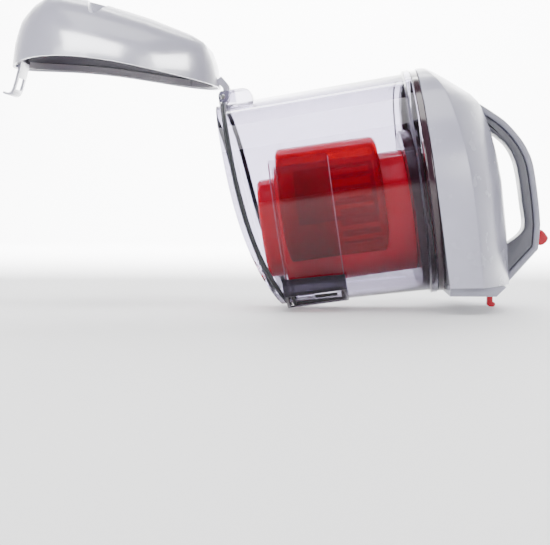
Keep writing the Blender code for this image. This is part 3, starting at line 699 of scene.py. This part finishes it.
def seal_channel(low, high, front, back):
    """The groove for the mouth's band, square in section."""
    inner, outer = MOUTH_RADIUS + low, MOUTH_RADIUS + high
    taper = 1.9
    band = [(-190, inner), (-190, outer), (-110, outer + taper), (-110, inner + taper)]
    return carve(
        revolve(band), (CUT, mouth_side(-front, OPEN_SIDE)), (CUT, mouth_side(-back, BIN_SIDE))
    )


def mouth_seal():
    half = RECESS_HALF + 3
    return carve(
        band_near_mouth(0.4, 2.4, 4.4, 8.6),
        (CUT, box(-180, -100, -half, half, -110, -60)),
        (CUT, cylinder_y(*PIN, 4.7, -8.4, 8.4)),
    )


def cup_space():
    """The bin's outside grown by the working gap."""
    return revolve([(-182, 0), (-182, MOUTH_RADIUS + 0.35), (-10, SEAM_RADIUS + 0.45), (-10, 0)])


def hinge_pin():
    shaft = [(-20.2, 0.0), (-20.2, 1.2), (-19.5, 1.8), (19.5, 1.8), (20.2, 1.2), (20.2, 0.0)]
    bm = revolve(shaft, segments=32)
    across = Matrix.Rotation(pi / 2, 3, "Z")
    bmesh.ops.rotate(bm, verts=bm.verts, cent=(0, 0, 0), matrix=across)
    bmesh.ops.translate(bm, verts=bm.verts, vec=PIN_POINT)
    return bm


def inlet_port_frame():
    """Socket whose mouth slants from the near edge down to the far edge."""
    y0, y1 = PORT_Y
    x0, x1 = PORT_X
    corners = ((y0, -58), (y0, PORT_NEAR_Z), (y1, PORT_FAR_Z), (y1, -80))
    return carve(
        loft([[(x, y, z) for y, z in corners] for x in (x0, x1)]),
        (CUT, box(x0 + 3, x1 - 3, y0 + 2.6, y1 - 2.6, -110, -50)),
        (CUT, cup_space()),
        (CUT, seal_channel(0.0, 3.0, 4.0, 9.1)),
        bevel=(0.4, 2, 50),
    )


def port_seal():
    """Rubber lip round the socket's slanting mouth."""
    x0, x1 = PORT_X[0] + 5.5, PORT_X[1] - 3.3
    y0, y1 = PORT_Y[0] + 2.9, PORT_Y[1] - 2.9
    drop = (PORT_NEAR_Z - PORT_FAR_Z) / (PORT_Y[1] - PORT_Y[0])
    low, high, wide = 0.8, 3.4, 2.2
    corners = []
    for y, up in ((y0, low), (y0, high), (y1, high), (y1, low)):
        corners.append((y, PORT_NEAR_Z - drop * (y - PORT_Y[0]) + up))
    lip = loft([[(x, y, z) for y, z in corners] for x in (x0, x1)])
    hole = box(x0 + wide, x1 - wide, y0 + wide, y1 - wide, -110, -50)
    return carve(lip, (CUT, hole), (CUT, cup_space()), bevel=(0.4, 3, 50))


def inlet_duct():
    """Clear channel up the near wall, closed by the cup, that leads the dirty air to the drum."""
    hollow = carve(
        sector(-128.4, -84.6, 68, 92.0, 162, 250, **CHANNEL),
        (CUT, rod(-140, -70, CORE_RADIUS + 2.6, CORE_Z)),
    )
    return carve(
        sector(-130.6, -82.4, 66, 86.0, 158, 247, **CHANNEL),
        (CUT, hollow),
        (CUT, box(-126, -89, *INLET, -100, -66)),
        (CUT, rod(-140, -70, DRUM_RADIUS + CYCLONE_GAP, DRUM_Z)),
        (CUT, rod(-140, -70, CORE_RADIUS + CYCLONE_GAP, CORE_Z)),
    )


def painted_channel_lines():
    """Painted highlight lines along the channel's two long edges: thin pink-red strips that stand
    in for the light caught there.
    """
    front, back = (sector(x, x + 0.8, 83.4, 86.2, 160, 246, **CHANNEL) for x in (-130.9, -82.9))
    return carve(front, (JOIN, back))


gasket = revolve(ring(-6.0, -0.3, 88.6, 94.6, 1.2, 5))
piece("container", "bin_wall", dust_cup(), "clear", CLEAR, "dust_cup", sharp=28)
piece(
    "container", "mouth_band", mouth_seal(), "black_rubber", BLACK_RUBBER, "mouth_seal", sharp=50
)
piece("container", "hinge_shaft", hinge_pin(), "steel", STEEL, "hinge_pin")
piece("container", "port_socket", inlet_port_frame(), "smoked", SMOKED, "inlet_port_frame")
piece("container", "port_lip", port_seal(), "black_rubber", BLACK_RUBBER, "port_seal")
piece("container", "inlet_channel", inlet_duct(), "clear", DUCT_CLEAR, "inlet_duct", sharp=28)
piece("container", "painted_channel_lines", painted_channel_lines(), "clear", CHANNEL_HIGHLIGHT)
piece("container", "bin_gasket", gasket, "black_rubber", GASKET, "head_seal")


# ---- cyclone

TIP_RADIUS = 42.3
WINDOW_SLOTS = 5


def round_edge(end, radius, soft, steps, way=1):
    """Points of (x, radius) over a rounded edge, from the flat end to the wall."""
    made = []
    for t in quarter_turn(steps):
        made.append((end + way * soft * (1 - cos(t)), radius - soft + soft * sin(t)))
    return made


def cyclone_core():
    """Red inner tube, closed towards the bin's mouth, with air slots on its far side."""
    r, end, floor = CORE_RADIUS, -129.8, -127.2
    outline = [(end, 0), (end, r - 2), *round_edge(end, r, 2, 6)]
    outline += [(-18, r), (-18, r - CYCLONE_WALL), (floor, r - CYCLONE_WALL), (floor, 0)]
    slots = []
    for k in range(WINDOW_SLOTS):
        low = CORE_Z + 12 - 9 * k
        slots.append((CUT, box(-78, -46, -80, -30, low, low + 5)))
    return carve(revolve(outline, CORE_Z), *slots)


def cyclone_tip():
    r, end, floor = TIP_RADIUS, -146, -143.6
    outline = [(end, 0), (end, r - 4), *round_edge(end, r, 4, 6)]
    outline += [(-130.2, r), (-130.2, r - 2.2), (-142, r - 2.2), (floor, r - 4.5), (floor, 0)]
    return revolve(outline, CORE_Z)


def cyclone_drum():
    """Scroll casing round the core."""
    r, front, back, soft = DRUM_RADIUS, -127, -39, 5
    outside = [(front, 0), (front, r - soft), *round_edge(front, r, soft, 7)]
    outside += round_edge(back, r, soft, 7, way=-1)[::-1]
    outside += [(back, r - soft), (back, 0)]
    inner = r - CYCLONE_WALL
    inside = [(-124.8, 0), (-124.8, r - 6), (-122, inner), (-44, inner), (-41.2, r - 6), (-41.2, 0)]
    return carve(
        revolve(outside, DRUM_Z),
        (CUT, revolve(inside, DRUM_Z)),
        (CUT, rod(-140, -20, CORE_RADIUS + CYCLONE_GAP, CORE_Z)),
    )


def spiral_ramp():
    """Ribbon inside the core that sets the air spinning."""
    start, end, rise, steps = 128.0, 214.0, 30.0, 72
    inner, outer = 38, CORE_RADIUS - 2.6
    corners = [(-120, inner), (-108, inner), (-108, outer), (-120, outer)]
    rings = []
    for i in range(steps + 1):
        t = radians(start + (end - start) * i / steps)
        y, z, shift = cos(t), sin(t), rise * i / steps
        rings.append([(x + shift, r * y, CORE_Z + r * z) for x, r in corners])
    return loft(rings)


def window_grille():
    """Rounded frame over the core's air slots."""
    r = CORE_RADIUS
    gaps = []
    for k in range(4):
        start = 127 + 13.5 * k
        gaps.append((CUT, sector(-84, -49, r - 3, r + 6, start, start + 9.5, CORE_Z, 10)))
    return carve(sector(-113, -45.5, r + 0.7, r + 2.0, 122, 181, CORE_Z, 36), *gaps)


def flange_disc():
    """Dust skirt between the core and the head."""
    outline = [(-17.5, 67), (-17.2, 67.4), (-16.6, 67.6), (-7.5, 67.6), (-6.9, 67.0), (-6.9, 54)]
    outline += [(-13.5, 54), (-13.5, 42), (-17.5, 42)]
    return revolve(outline, CORE_Z)


def bayonet_ring():
    """Collar with three lugs that turn behind the bulkhead."""
    lugs = []
    for start in (90, 210, 330):
        lugs.append((JOIN, sector(-4.3, -0.3, 39, 46, start, start + 24, CORE_Z, 12)))
    return carve(revolve(ring(-17.2, -0.3, 37.5, 41.5), CORE_Z), *lugs)


outlet_tube = revolve(ring(-118, -18, 20, 22.5), CORE_Z)
piece("cyclone", "core_tube", cyclone_core(), "red_clear", CORE_RED, "cyclone_core", sharp=28)
piece("cyclone", "core_cap", cyclone_tip(), "red_clear", TIP_RED, "cyclone_tip", sharp=28)
piece("cyclone", "scroll_drum", cyclone_drum(), "red_clear", RED_CLEAR, "cyclone_drum", sharp=28)
piece("cyclone", "outlet_tube", outlet_tube, "plum", INNER_RED, "vortex_tube")
piece("cyclone", "air_ramp", spiral_ramp(), "plum", INNER_RED, "spiral_ramp")
piece("cyclone", "window_frame", window_grille(), "plum", WINDOW_RED, "window_grille")
piece("cyclone", "dust_skirt", flange_disc(), "plum", PLUM, "flange_disc")
piece("cyclone", "twist_collar", bayonet_ring(), "red", RED, "bayonet_ring")


# ---- head

# (height, depth behind the seam) of the head's back and of the crease along its side
REAR = [(-104, 52.0), (-94, 53.1), (-50, 56.6), (-8.9, 58.0), (15, 56.6), (34, 54.2), (48, 51.0)]
REAR += [(58.5, 47.6), (66.2, 41.8), (80, 25.0), (94.6, 8.0), (95.6, 4.0)]
CREASE = [(-104, 26.0), (-40, 28.0), (5, 27.5), (40, 24.0), (73, 17.5), (90, 8.5), (95.6, 3.0)]
HEAD_FOOT = -104.0
NARROWING = 0.10  # of each side wall, per millimetre below NARROW_FROM
NARROW_FROM = -30
FACET_STEPS = 12
CREASE_STEPS = 4
CREASE_RADIUS = 0.9


def head_level(z, inset, start):
    """Outline across the head: side wall, soft crease, slanting rear facet, flat back strip."""
    depth = between(REAR, z) - inset
    half = HEAD_RADIUS - inset
    if z > 0:
        half = sqrt(max(half * half - min(z, half) ** 2, 9.0))
    elif z < 0:
        half = max(half - max(NARROW_FROM - z, 0) * NARROWING, 3.0)
    crease = min(smooth_between(CREASE, z) - inset * 0.4, depth - 1.0)
    strip = min(24.0, half * 0.5) - inset * 0.3
    side = min(half * 0.94 + 1.2, half - 0.4)
    facet = []
    for i in range(1, FACET_STEPS + 1):
        t = i / FACET_STEPS
        swell = 0.07 * sin(pi * t)
        y = side + (strip - side) * (t - swell * 0.5)
        facet.append((crease + (depth - crease) * (t + swell), y))
    wall, corner, ahead = Vector((start, half)), Vector((crease, side)), Vector(facet[0])
    reach = min(CREASE_RADIUS, (corner - wall).length * 0.4, (ahead - corner).length * 0.8)
    low = corner + (wall - corner).normalized() * reach
    high = corner + (ahead - corner).normalized() * reach
    near = [(start, half)] + bent(low, corner, high, CREASE_STEPS) + facet
    return [(x, -y, z) for x, y in near] + [(x, y, z) for x, y in reversed(near)]


def head_body(inset, start):
    """The head's outer form: straight walls below the axis, a round top above it."""
    low_count, high_count, top = 26, 44, radians(85)
    levels = [HEAD_FOOT * (1 - i / low_count) for i in range(low_count)]
    for i in range(high_count + 1):
        levels.append((HEAD_RADIUS - inset) * sin(top * i / high_count))
    return loft([head_level(z, inset, start) for z in levels])


def below_floor_line(height):
    """Everything under a level line, given from the surface the container lies on."""
    bm = box(-300, 300, -150, 150, -200, height - CONTAINER_AT.z)
    tilt = Matrix.Rotation(-TILT, 3, "Y").inverted()
    bmesh.ops.rotate(bm, verts=bm.verts, cent=(0, 0, 0), matrix=tilt)
    return bm


def head_shell():
    """The head's cover, with two small slots in its top."""
    slots = [(CUT, box(40, 62, y - 1.6, y + 1.6, 47.5, 50.7)) for y in (-9.0, 9.0)]
    return carve(
        head_body(0.0, 0.0),
        (CUT, head_body(HEAD_WALL, -3.0)),
        (CUT, below_floor_line(SHELL_BOTTOM)),
        *slots,
    )


def head_plate():
    """Bulkhead behind the bin, with the outlet in its middle."""
    radius = HEAD_RADIUS - HEAD_WALL - 1.3
    foot = -87.0
    arc = [radians(3 * i) for i in range(61)]
    outline = [(radius * cos(t), radius * sin(t)) for t in arc]
    waist = radius - NARROWING * (NARROW_FROM - foot)
    outline += [(-radius, NARROW_FROM), (-waist, foot), (waist, foot), (radius, NARROW_FROM)]
    plate = loft([[(x, y, z) for y, z in outline] for x in (0.3, 3.3)])
    return carve(plate, (CUT, rod(-5, 8, 30, segments=96)))


PLEATS = 60
FILTER_Z = -6.0


def pleated_filter():
    rings = []
    for x in (5.0, 12.5):
        points = []
        for i, t in enumerate(full_turn(PLEATS * 2)):
            r = 49.0 if i % 2 else 44.0
            points.append((x, r * cos(t), FILTER_Z + r * sin(t)))
        rings.append(points)
    return loft(rings)


def filter_frame():
    """Hoop round the filter, with an inward flange at its back."""
    flange = revolve(ring(18, 20, 26, 51), FILTER_Z)
    return carve(revolve(ring(3.8, 20, 50, 53), FILTER_Z), (JOIN, flange))


LATCH_X, LATCH_Z = 184.3, 44.0
LATCH_HALF = 4.0
LATCH_HOLE = 1.9
TRAY_BOTTOM = 12.75
TRAY_ROOF = 2.2
SCREWS_AT = ((152.7, -40), (152.7, 40), (175.2, -40), (175.2, 40))


def underside_frame():
    """Ribbed outlet tray under the head, with the latch's bracket on top."""
    x0, x1 = 146.2, 192.0
    top = SHELL_BOTTOM - GAP
    outline = [(x0, TRAY_BOTTOM), (x1 - 8, TRAY_BOTTOM), (x1, top), (x0, top)]
    steps = []
    for a, b in ((x0 + 2.2, 157.0), (159.2, 168.2), (170.4, 180.0)):
        for c, d in ((-59.5, -21.2), (-19, 19), (21.2, 59.5)):
            steps.append((CUT, box(a, b, c, d, 0, top - TRAY_ROOF)))
    x, z = LATCH_X, LATCH_Z
    lug = [(x - 5, top - 1), (x + 4, top - 1), (x + 4, z + 2), (x + 1.5, z + 4.5)]
    lug += [(x - 2.5, z + 4.5), (x - 5, z + 2)]
    near, far = LATCH_HALF + 1.0, LATCH_HALF + 4.0
    steps.append((JOIN, prism(lug, -far, -near)))
    steps.append((JOIN, prism(lug, near, far)))
    steps.append((CUT, cylinder_y(x, z, LATCH_HOLE, -20, 20)))
    half = LATCH_HALF + 0.7
    steps.append((CUT, box(176.6, 187.6, -half, half, 0, 30)))
    return carve(soft_prism(outline, -62, 62, 0.8), *steps, bevel=(0.25, 2, 50))


def tray_screw(x, y):
    """Cross-head screw driven from below."""
    end = SHELL_BOTTOM - 2 * GAP - TRAY_ROOF
    stations = ((15.4, 2.3), (15.5, 2.7), (15.9, 3.0), (end, 3.0))
    shank = loft([[(*point, z) for point in circle(x, y, r, 40)] for z, r in stations])
    cross = []
    for long, wide in ((2.0, 0.35), (0.35, 2.0)):
        cross.append((CUT, box(x - long, x + long, y - wide, y + wide, 14, 16.6)))
    return carve(shank, *cross)


foam_edge = [(13.2, 0), (13.2, 48.6), (13.6, 49), (17.0, 49), (17.4, 48.6), (17.4, 0)]
foam_disc = revolve(foam_edge, FILTER_Z)
piece("container", "head_cover", head_shell(), "light_grey", HEAD_SHADED_GREY, "head_shell", sharp=40)
piece("container", "head_bulkhead", head_plate(), "dark_grey", PLATE_GREY, "head_plate")
piece("container", "filter_holder", filter_frame(), "mid_grey", STRIP_GREY, "filter_frame")
piece(
    "container", "filter_pleats", pleated_filter(), "filter_paper", PAPER, "pleated_filter",
    sharp=10,
)
piece("container", "filter_pad", foam_disc, "filter_foam", FOAM, "foam_filter")
piece(
    "container", "outlet_tray", underside_frame(), "light_grey", TRAY_GREY, "underside_frame",
    sharp=28, place=LEVEL,
)
for number, at in enumerate(SCREWS_AT, 1):
    screw, node = tray_screw(*at), f"tray_screw_{number}"
    piece("container", f"screw_{number}", screw, "steel", STEEL, node, place=LEVEL)


# ---- handle and latch

# the handle's outer edge, whose lower part is straight, and the inner edge of its grip
OUTER = [(40.0, 65.9), (47.4, 59.6), (58.9, 49.7), (69.0, 40.0), (78.3, 26.5), (84.2, 13.8)]
OUTER += [(87.2, -0.4), (87.6, -30.1), (86.6, -50.0)]
OUTER_FOOT = [(82.0, -70.4), (55.2, -93.0), (47.6, -99.4)]
INNER = [(55.0, 34.3), (66.2, 22.2), (71.8, 9.4), (73.6, -4.4), (73.8, -28.3), (72.4, -51.1)]
INNER += [(58.0, -61.7)]
STRIP_WIDTH = 5.4
BUTTON_AT = (83.0, 0.0, -60.5)


def head_space():
    """The head's form grown by the gap."""
    return head_body(-GAP, -5.0)


def outer_line():
    return smooth_line(OUTER, 10) + OUTER_FOOT


def handle_strip():
    """The handle's back, with a window for the button."""
    x, _, z = BUTTON_AT
    outer = outer_line()
    middle = offset_line(outer, STRIP_WIDTH)
    return carve(
        soft_prism(outer + middle[::-1], -HANDLE_HALF, HANDLE_HALF, 1.6),
        (CUT, head_space()),
        (CUT, box(x - 7.0, x + 14, -9.6, 9.6, z - 8.1, z + 7.3)),
    )


def handle_grip():
    """The handle's hand side, with a bore for the button's spring."""
    x, _, z = BUTTON_AT
    edge = offset_line(outer_line(), STRIP_WIDTH + GAP)
    inner = [(44.0, 44.0)] + smooth_line(INNER, 10) + [(46.0, -66.0)]
    half = HANDLE_HALF - 0.8
    return carve(
        soft_prism(edge + inner[::-1], -half, half, 2.2, 5),
        (CUT, head_space()),
        (CUT, rod(x - 13.5, x + 1, 3.1, z, segments=40)),
    )


def release_button():
    outline = [(83.0, -54.0), (87.8, -54.2), (91.0, -58.5), (92.6, -62.6), (90.6, -65.4)]
    outline += [(86.8, -67.7), (82.6, -67.0)]
    return soft_prism(rounded(outline, 1.6), -9, 9, 1.2)


def coil(turns, steps, long, radius, wire):
    """A round wire wound along x, its ends cut square."""
    rings = []
    count = turns * steps
    section = circle(0, 0, 1, 12)
    pace = 2 * pi * radius / steps
    for i in range(count + 1):
        t = 2 * pi * i / steps
        out = Vector((0, cos(t), sin(t)))
        centre = Vector((-0.9 - long + long * i / count, 0, 0)) + out * radius
        way = Vector((long / count, 0, 0)) + Vector((0, -sin(t), cos(t))) * pace
        side = way.normalized().cross(out)
        rings.append([centre + (out * u + side * v) * wire for u, v in section])
    return loft(rings)


def button_spring():
    bm = coil(turns=4, steps=40, long=7.2, radius=2.2, wire=0.42)
    bmesh.ops.translate(bm, verts=bm.verts, vec=BUTTON_AT)
    return bm


def latch_hook():
    """Hook that hangs from its pin through the tray and holds the container in the machine."""
    x, z = LATCH_X, LATCH_Z
    outline = [(x - 2.4, 2.2), (x - 0.6, 0.6), (x + 3.4, 0.6), (x + 4.8, 2.2), (x + 4.2, 4.2)]
    outline += [(x + 2.4, 4.6), (x + 2.4, z + 2.6), (x + 0.9, z + 4.0), (x - 0.9, z + 4.0)]
    outline += [(x - 2.4, z + 2.6)]
    hook = soft_prism(rounded(outline, 0.7, 3), -LATCH_HALF, LATCH_HALF, 0.5)
    return carve(hook, (CUT, cylinder_y(x, z, LATCH_HOLE, -20, 20)))


latch_pin = soft_prism(circle(LATCH_X, LATCH_Z, 1.5, 32), -8.6, 8.6, 0.3)
piece("container", "handle_back", handle_strip(), "mid_grey", STRIP_GREY, "handle_strip", sharp=35)
piece("container", "handle_hold", handle_grip(), "dark_grey", GRIP_GREY, "handle_grip", sharp=35)
piece("button", "thumb_button", release_button(), "red", RED, "release_button")
piece("button", "return_spring", button_spring(), "steel", STEEL, "button_spring")
piece("latch", "red_hook", latch_hook(), "red", RED, "latch_hook", place=LEVEL)
piece("container", "hook_pin", latch_pin, "steel", STEEL, "latch_pin", place=LEVEL)


# ---- lid

CHORD_FOOT = (mouth_x(-MOUTH_RADIUS), -MOUTH_RADIUS)
CHORD_HEAD = (mouth_x(MOUTH_RADIUS), MOUTH_RADIUS)
CHORD = dist(CHORD_FOOT, CHORD_HEAD)
ALONG = Vector((CHORD_HEAD[0] - CHORD_FOOT[0], CHORD_HEAD[1] - CHORD_FOOT[1])) / CHORD
OUTWARD = Vector((-ALONG.y, ALONG.x))
# (distance along the chord from the clip's end, height of the closed lid over it)
LID_TOP = [(0, 0), (1, 12), (3, 24), (9.3, 40), (20, 52), (32, 60.4), (44, 61.6), (62, 60)]
LID_TOP += [(82, 56.8), (120, 49), (155, 39.4), (166, 34.3), (173, 21), (176.6, 9.7), (179.2, 0)]


def lid_at(a, y, h):
    """A point of the closed lid: a along the rim's chord from the clip, h outwards from it."""
    flat = Vector(CHORD_FOOT) + ALONG * a + OUTWARD * h
    return (flat.x, y, flat.y)


def lid_section(turn, inset):
    """Outline across the lid at one place along its chord, given as an angle."""
    half_chord = CHORD / 2 - inset
    a = CHORD / 2 - half_chord * cos(turn)
    wide = (LID_HALF - inset) * sin(turn)
    strip = wide * (0.50 + 0.25 * cos(turn) ** 4)
    top = max(between(LID_TOP, a) - inset, 0.6)
    last, flat, steps = radians(64), 0.77, 16
    side = [(wide, -5.0)]
    for i in range(steps):
        t = last * i / (steps - 1)
        out = (cos(t) ** flat - cos(last) ** flat) / (1 - cos(last) ** flat)
        up = sin(t) ** flat / sin(last) ** flat
        side.append((strip + (wide - strip) * out, top * up))
    return [lid_at(a, -y, h) for y, h in side] + [lid_at(a, y, h) for y, h in reversed(side)]


def lid_body(inset):
    stations, first = 72, radians(5)
    turns = [first + (pi - 2 * first) * i / stations for i in range(stations + 1)]
    return loft([lid_section(t, inset) for t in turns])


def pocket(side, grow):
    """Finger pocket in the lid's edge, on one side."""
    middle, deep, top = 76.5, 45.5 - grow, 66.0
    outline = [(-12.5, top), (-4.0, deep + 3.0), (-1.8, deep + 0.6), (0, deep)]
    outline += [(1.8, deep + 0.6), (4.0, deep + 3.0), (12.5, top)]
    ends = []
    for y in (34 - grow, 100):
        grown = [(middle + a + copysign(grow, a), h) for a, h in outline]
        ends.append([lid_at(a, side * y, h) for a, h in grown])
    return loft(ends)


def pockets(grow):
    return [(CUT, pocket(side, grow)) for side in (-1, 1)]


ARM_STEPS = ((0, 0), (-5.0, 0.6), (-9.0, -0.9), (-12.0, -5.0), (-14.5, -9.0))
HINGE_ARM = smooth_line([(PIN[0] + x, PIN[1] + z) for x, z in ARM_STEPS], 8)


def lid_shell():
    """The lid's outer moulding, with the arm and knuckle of its hinge."""
    return carve(
        lid_body(0.0),
        (CUT, carve(lid_body(LID_WALL), *pockets(LID_WALL))),
        (CUT, mouth_side(0.5, BIN_SIDE)),
        *pockets(0.0),
        (JOIN, prism(thick_line(HINGE_ARM, 5.6), -KNUCKLE_HALF, KNUCKLE_HALF)),
        (JOIN, cylinder_y(*PIN, 4.4, -KNUCKLE_HALF, KNUCKLE_HALF)),
        (CUT, cylinder_y(*PIN, PIN_HOLE, -20, 20)),
    )


def lid_layer(outer, inner, rim, *more):
    """A shell between two insets of the lid's form, ending at a distance outside the mouth."""
    return carve(
        lid_body(outer),
        (CUT, lid_body(inner)),
        (CUT, mouth_side(rim, BIN_SIDE)),
        *more,
        (CUT, box(-156, -120, -16.5, 16.5, -95, -77.5)),
        (CUT, prism(thick_line(HINGE_ARM, 6.8), -8.2, 8.2)),
    )


def lid_liner():
    return lid_layer(LID_WALL + 1.0, LID_WALL + 2.8, 8.0, *pockets(LID_WALL + 0.9))


def lid_seal():
    front = (CUT, mouth_side(7.4, OPEN_SIDE))
    return lid_layer(LID_WALL + 0.5, LID_WALL + 4.0, 1.6, front)


def lid_clip():
    """Springy strap whose window snaps over the catch on the bin."""
    line = [(-145.5, -81.8), (-137, -81.4), (-128, -81.2), (-121, -81.4)]
    line += [(-117.6, -82.4), (-115.8, -85.0), (-115.9, -89.2)]
    strap = soft_prism(thick_line(smooth_line(line, 6), 2.0), -15, 15, 0.5)
    return carve(strap, (CUT, box(-131.5, -121.4, -9.8, 9.8, -90, -70)))


for body, name, shape, slot, material, node, sharp in (
    ("lid", "lid_cover", lid_shell(), "light_grey", LIGHT_GREY, "lid_shell", 24),
    ("lid", "lid_lining", lid_liner(), "dark_grey", LINER_AND_SHADE_GREY, "lid_liner", 40),
    ("lid", "lid_lip", lid_seal(), "mid_grey", SEAL_GREY, "lid_seal", 40),
    ("clip", "clip_strap", lid_clip(), "light_grey", LIGHT_GREY, "lid_clip", 32),
):
    piece(body, name, shape, slot, material, node, sharp=sharp, place=IN_LID)


# ---- studio

def sweep_floor():
    """Pale floor that curves up into a wall far behind."""
    half, front, back, bend, top, below = 14.0, -14.0, 3.4, 1.2, 5.0, 0.0002
    start = back - bend
    line = [(front, 0.0), (start, 0.0)]
    line += [(start + bend * sin(t), bend * (1 - cos(t))) for t in quarter_turn(24)]
    line.append((back, top))
    bm = bmesh.new()
    left, right = ([bm.verts.new((x, y, z - below)) for y, z in line] for x in (-half, half))
    for i in range(len(line) - 1):
        bm.faces.new((left[i], right[i], right[i + 1], left[i + 1]))
    made = as_object(bm, "studio_sweep")
    made.data.materials.append(FLOOR)
    made.data.shade_smooth()


def aimed(name, data, at, towards):
    """A lamp or camera in the scene, turned towards a point."""
    made = bpy.data.objects.new(name, data)
    made.location = at
    made.rotation_euler = (Vector(towards) - Vector(at)).to_track_quat("-Z", "Y").to_euler()
    bpy.context.scene.collection.objects.link(made)
    return made


def area_light(name, at, towards, wide, high, watts):
    lamp = bpy.data.lights.new(name, "AREA")
    lamp.shape = "RECTANGLE"
    lamp.size, lamp.size_y = wide, high
    lamp.energy = watts
    return aimed(name, lamp, at, towards)


def glow(pieces, name, at, towards, wide, high, watts):
    """A soft box that shows only as a reflection in some pieces."""
    made = area_light(name, at, towards, wide, high, watts)
    made.visible_diffuse = False
    made.visible_transmission = False
    made.visible_camera = False
    made.light_linking.receiver_collection = pieces


sweep_floor()
world = bpy.data.worlds.new("studio")
world.use_nodes = True
ground = world.node_tree.nodes["Background"]
ground.inputs["Color"].default_value = (1.0, 1.0, 1.0, 1.0)
ground.inputs["Strength"].default_value = 0.16
bpy.context.scene.world = world

# name, place, aim, width, height and watts
area_light("left_box", (-1.5, -1.3, 0.55), (-0.1, 0, 0.15), 1.0, 0.7, 34)
area_light("right_box", (1.2, -1.5, 0.6), (0.1, 0, 0.15), 0.8, 0.7, 22)
area_light("top_box", (0.0, -0.3, 1.9), (0.0, 0, 0.1), 1.8, 1.2, 40)
area_light("edge_strip", (0.0, 1.2, 1.6), (0.0, 0, 0.15), 1.6, 0.12, 12)
lid_pieces = bpy.data.collections.new("lid_pieces")
for name in ("lid_cover", "clip_strap"):
    lid_pieces.objects.link(bpy.data.objects[name])
glow(lid_pieces, "left_glow", (-0.47, -1.0, 0.88), (-0.13, -0.08, 0.21), 1.4, 0.6, 190)
glow(lid_pieces, "right_glow", (1.0, -0.46, 0.56), (-0.08, -0.07, 0.2), 0.95, 0.5, 105)
area_light("wall_wash", (0.0, 0.9, 1.7), (0.0, 3.0, 1.1), 3.2, 0.7, 900)

lens = bpy.data.cameras.new("camera")
lens.lens = 88.8
lens.sensor_width = 36.0
camera = aimed("camera", lens, at=(0.068, -1.17, 0.085), towards=(0.0003, 0.0, 0.0293))
bpy.context.scene.camera = camera
